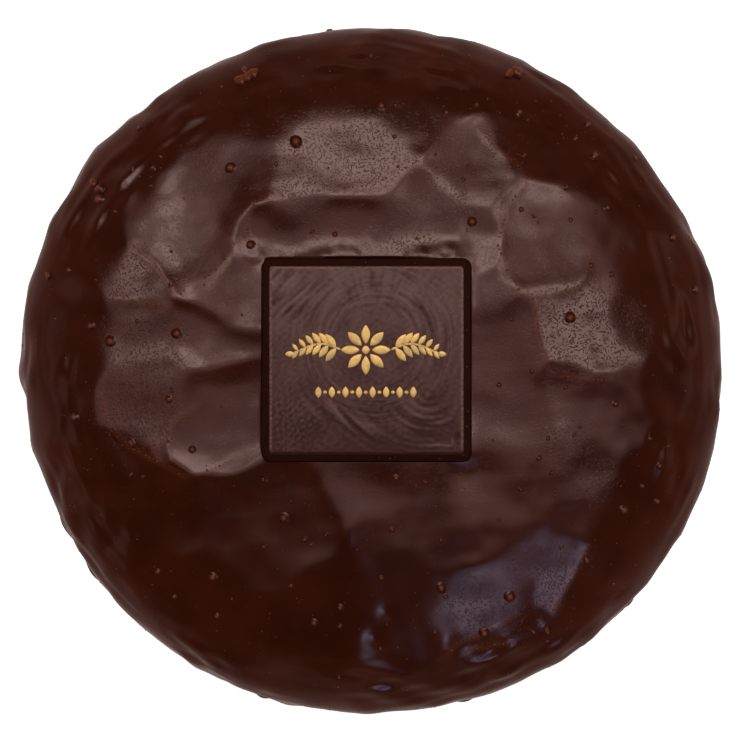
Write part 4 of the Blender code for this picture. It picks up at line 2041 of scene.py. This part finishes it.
@dataclass(frozen=True)
class Leaf:
    """One almond-shaped field of the print: its foot, heading, length and width in millimetres."""

    x: float
    y: float
    heading: float
    length: float
    width: float


@dataclass
class GoldPrint:
    """A generic ornament in gold: a rosette between two leafy sprigs, over a row of lozenges."""

    plaque: Plaque
    middle: Pair = (-0.7, 2.65)
    petals: int = 8
    petal_foot: float = 0.75
    petal_length: float = 2.5
    petal_width: float = 1.15
    stem_from: float = 3.2
    stem_swing: float = 0.75
    stem_turns: float = 1.25
    stroke: tuple[float, float, float] = (0.42, 0.85, 0.34)
    pairs: int = 6
    pair_from: float = 3.8
    pair_gap: float = 0.98
    pair_shrink: float = 0.09
    pair_turn: float = 52.0
    leaf_size: Pair = (2.25, 0.95)
    tip_size: Pair = (1.3, 0.75)
    stem_reach: float = 9.6
    row_y: float = -2.8
    row_half: float = 6.1
    row_count: int = 15
    thickness: float = 0.05 * MM

    def rosette(self) -> list[Leaf]:
        """Return the petals round the middle.

        Returns:
            The petals.
        """
        x, y = self.middle
        found = []
        for index in range(self.petals):
            heading = 360.0 * index / self.petals
            way = math.radians(heading)
            foot_x, foot_y = x + self.petal_foot * math.cos(way), y + self.petal_foot * math.sin(way)
            found.append(Leaf(foot_x, foot_y, heading, self.petal_length, self.petal_width))
        return found

    def stem_y(self, along: float) -> float:
        """Return the stem's height over the middle line at a distance along the sprig."""
        share = (along - self.stem_from) / (self.stem_reach - self.stem_from)
        return self.stem_swing * math.sin(share * math.pi * self.stem_turns)

    def sprigs(self) -> list[Leaf]:
        """Return the leaves on both stems, paired and smaller towards the tips.

        Returns:
            The leaves.
        """
        found = []
        for side in (1.0, -1.0):
            for index in range(self.pairs):
                along = self.pair_from + index * self.pair_gap
                size = 1.0 - self.pair_shrink * index
                length, width = (part * size for part in self.leaf_size)
                foot_x = self.middle[0] + side * along
                foot_y = self.middle[1] + self.stem_y(along)
                for turn in (self.pair_turn, -self.pair_turn):
                    heading = turn if side > 0 else 180.0 - turn
                    found.append(Leaf(foot_x, foot_y, heading, length, width))
            tip_y = self.middle[1] + self.stem_y(self.stem_reach)
            tip_x = self.middle[0] + side * self.stem_reach
            heading = 0.0 if side > 0 else 180.0
            found.append(Leaf(tip_x - side * 0.5, tip_y, heading, *self.tip_size))
        return found

    def stems(self) -> list[Leaf]:
        """Return the stems as short overlapping strokes.

        Returns:
            The strokes.
        """
        found = []
        step, length, width = self.stroke
        steps = np.arange(self.stem_from, self.stem_reach, step)
        for side in (1.0, -1.0):
            for along in steps:
                rise = self.stem_y(along + step) - self.stem_y(along)
                heading = math.degrees(math.atan2(rise, side * step))
                x = self.middle[0] + side * along
                found.append(Leaf(x, self.middle[1] + self.stem_y(along), heading, length, width))
        return found

    def row(self) -> list[Leaf]:
        """Return the row beneath: lozenges and dots by turns.

        Returns:
            The lozenges and dots.
        """
        found = []
        for index in range(self.row_count):
            x = self.middle[0] + self.row_half * (2.0 * index / (self.row_count - 1) - 1.0)
            if index % 2 == 0:
                found.append(Leaf(x, self.row_y - 0.75, 90.0, 1.5, 0.85))
            else:
                found.append(Leaf(x, self.row_y - 0.26, 90.0, 0.52, 0.55))
        return found

    def leaf_shape(self) -> bpy.types.Object:
        """Return a flat almond of unit length and width, from its foot along +X.

        Returns:
            The shape, for copies to be made of.
        """
        shares = np.linspace(0.0, 1.0, 10)
        half = 0.5 * np.sin(shares * math.pi) ** 0.85
        right = np.column_stack([shares, -half])
        left = np.column_stack([shares[-2:0:-1], half[-2:0:-1]])
        outline = np.concatenate([right, left])
        middle = np.array([0.5, 0.0])
        loops = []
        for share, height in ((0.35, 1.0), (0.93, 1.0), (1.0, 0.75), (1.0, -0.6)):
            plan = middle + (outline - middle) * share
            loops.append(np.column_stack([plan, np.full(len(outline), height)]))
        return show("leaf_shape", mesh_from_loops("leaf_shape", np.stack(loops)))

    def build(self) -> bpy.types.Object:
        """Print the ornament on the plaque's face.

        Returns:
            The finished piece.
        """
        leaves = self.rosette() + self.sprigs() + self.stems() + self.row()
        leaves.append(Leaf(self.middle[0] - 0.55, self.middle[1], 0.0, 1.1, 1.1))
        x = np.array([leaf.x for leaf in leaves]) * MM
        y = np.array([leaf.y for leaf in leaves]) * MM
        height = self.plaque.crowned(y) + self.plaque.mark_depth * self.plaque.brushed(x, y)
        turns = np.array([(0.0, 0.0, math.radians(leaf.heading)) for leaf in leaves])
        sizes = np.array([(leaf.length * MM, leaf.width * MM, self.thickness) for leaf in leaves])
        base = points_mesh("leaf_places", np.column_stack([x, y, height]), turns, sizes)
        shape = self.leaf_shape()
        values = {"Shape": shape, "Material": GoldFinish().material()}
        item = show("gold_ornament", grow("gold_ornament", base, placed_copies(), values))
        bpy.data.objects.remove(shape)
        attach(item, BODY)
        return item


# ---- studio


@dataclass(frozen=True)
class Panel:
    """A flat soft light, given by the directions it fills as seen from the biscuit.

    East and north angles are in degrees from straight up, low and high.
    """

    name: str
    east: Pair
    north: Pair
    radiance: float
    colour: Colour = (1.0, 1.0, 1.0)
    height: float = 0.9
    mirrored: bool = True

    def build(self) -> bpy.types.Object:
        """Hang the panel level over the biscuit, facing down.

        Returns:
            The lamp.
        """
        left, right = (self.height * math.tan(math.radians(angle)) for angle in self.east)
        near, far = (self.height * math.tan(math.radians(angle)) for angle in self.north)
        light = bpy.data.lights.new(self.name, "AREA")
        light.shape = "RECTANGLE"
        light.size = right - left
        light.size_y = far - near
        light.energy = self.radiance * math.pi * light.size * light.size_y
        light.color = self.colour
        item = bpy.data.objects.new(self.name, light)
        item.location = ((left + right) / 2.0, (near + far) / 2.0, self.height)
        item.visible_glossy = self.mirrored
        bpy.context.scene.collection.objects.link(item)
        return item


STRIP_COLOUR = (0.75, 1.0, 0.97)


@dataclass
class Studio:
    """Floor, lights and camera: straight down on the biscuit from far away."""

    panels: tuple[Panel, ...] = (
        Panel("overhead_softbox", (-29.0, 29.0), (-9.0, 25.5), 1.0),
        Panel("north_strip", (-12.0, 9.0), (10.5, 21.0), 6.0, STRIP_COLOUR, height=0.8),
        Panel("east_strip", (12.0, 23.0), (2.0, 11.5), 5.8, STRIP_COLOUR, height=0.8),
        Panel("west_strip", (-24.0, -15.5), (4.0, 12.0), 5.0, STRIP_COLOUR, height=0.8),
        Panel("blue_window", (9.0, 24.0), (-38.5, -19.5), 2.4, (0.30, 0.58, 1.0)),
        Panel("window_core", (12.0, 20.0), (-33.0, -29.0), 5.0, (0.62, 0.80, 1.0), height=0.85),
        Panel("south_glow", (-24.0, 4.0), (-13.0, -10.0), 0.30, height=0.85),
        Panel("west_side", (-63.0, -49.0), (-38.0, 18.0), 0.28, height=0.6),
        Panel("east_side", (48.0, 62.0), (-12.0, 30.0), 0.38, height=0.6),
        Panel("south_side", (-34.0, 22.0), (-63.0, -52.0), 0.18, height=0.6),
        Panel("north_side", (-25.0, 30.0), (50.0, 62.0), 0.24, height=0.6),
        Panel("room_fill", (-22.0, 60.0), (-14.0, 60.0), 0.11, height=1.1, mirrored=False),
    )
    room_colour: Colour = (1.0, 0.78, 0.72)
    fade_from: float = -0.05
    fade_to: float = 0.82
    floor_like: float = 0.44
    ceiling: float = 0.006
    camera_distance: float = 1.2
    frame_width: float = PICTURE_SIDE * PIXEL_SIZE * MM
    frame_offset: Pair = (0.0975 * MM, -0.195 * MM)
    sensor: float = 36.0
    clip_end: float = 20.0
    floor_half: float = 3.0
    floor_drop: float = 0.05 * MM

    def floor(self) -> None:
        """Lay the pale floor."""
        half = self.floor_half
        mesh = bpy.data.meshes.new("floor")
        corners = [(-half, -half), (half, -half), (half, half), (-half, half)]
        mesh.from_pydata([(x, y, -self.floor_drop) for x, y in corners], [], [(0, 1, 2, 3)])
        mesh.materials.append(FloorFinish().material())
        floor = show("floor", mesh)
        floor.visible_glossy = False

    def camera(self, girth_height: float) -> None:
        """Point the camera straight down, with the frame's width measured at the girth.

        Args:
            girth_height: Height of the girth above the floor, in metres.
        """
        data = bpy.data.cameras.new("camera")
        data.sensor_width = self.sensor
        data.lens = self.sensor * self.camera_distance / self.frame_width
        data.clip_end = self.clip_end
        item = bpy.data.objects.new("camera", data)
        item.location = (*self.frame_offset, girth_height + self.camera_distance)
        item.rotation_euler = Euler((0.0, 0.0, 0.0))
        bpy.context.scene.collection.objects.link(item)
        bpy.context.scene.camera = item

    def world(self) -> None:
        """Fill the room with a faint light, brighter from below the horizon than from overhead."""
        world = bpy.data.worlds.new("room")
        world.use_nodes = True
        nodes, links = world.node_tree.nodes, world.node_tree.links
        way = nodes.new("ShaderNodeSeparateXYZ")
        links.new(nodes.new("ShaderNodeTexCoord").outputs["Generated"], way.inputs["Vector"])
        fade = nodes.new("ShaderNodeMapRange")
        links.new(way.outputs["Z"], fade.inputs["Value"])
        fade.inputs["From Min"].default_value = self.fade_from
        fade.inputs["From Max"].default_value = self.fade_to
        fade.inputs["To Min"].default_value = self.floor_like
        fade.inputs["To Max"].default_value = self.ceiling
        links.new(fade.outputs["Result"], nodes["Background"].inputs["Strength"])
        nodes["Background"].inputs["Color"].default_value = (*self.room_colour, 1.0)
        bpy.context.scene.world = world

    def build(self, girth_height: float) -> None:
        """Set up the whole studio.

        Args:
            girth_height: Height of the girth above the floor, in metres.
        """
        self.floor()
        self.world()
        for panel in self.panels:
            panel.build()
        self.camera(girth_height)
        bpy.context.scene.view_settings.view_transform = "Standard"


def main() -> None:
    """Build every piece in order and report it."""
    logging.basicConfig(level=logging.INFO, format="%(message)s")
    low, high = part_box(Node.PLAQUE.value)
    form = BiscuitForm()
    plaque_form = PlaqueForm(low, high)
    coat = Coat(form, plaque_form)
    surface = coat.build()
    report(surface)
    plaque = Plaque(plaque_form)
    report(plaque.build())
    report(Specks(coat, surface).build())
    report(GoldPrint(plaque).build())
    Studio().build(form.girth_height)


if __name__ == "__main__":
    main()
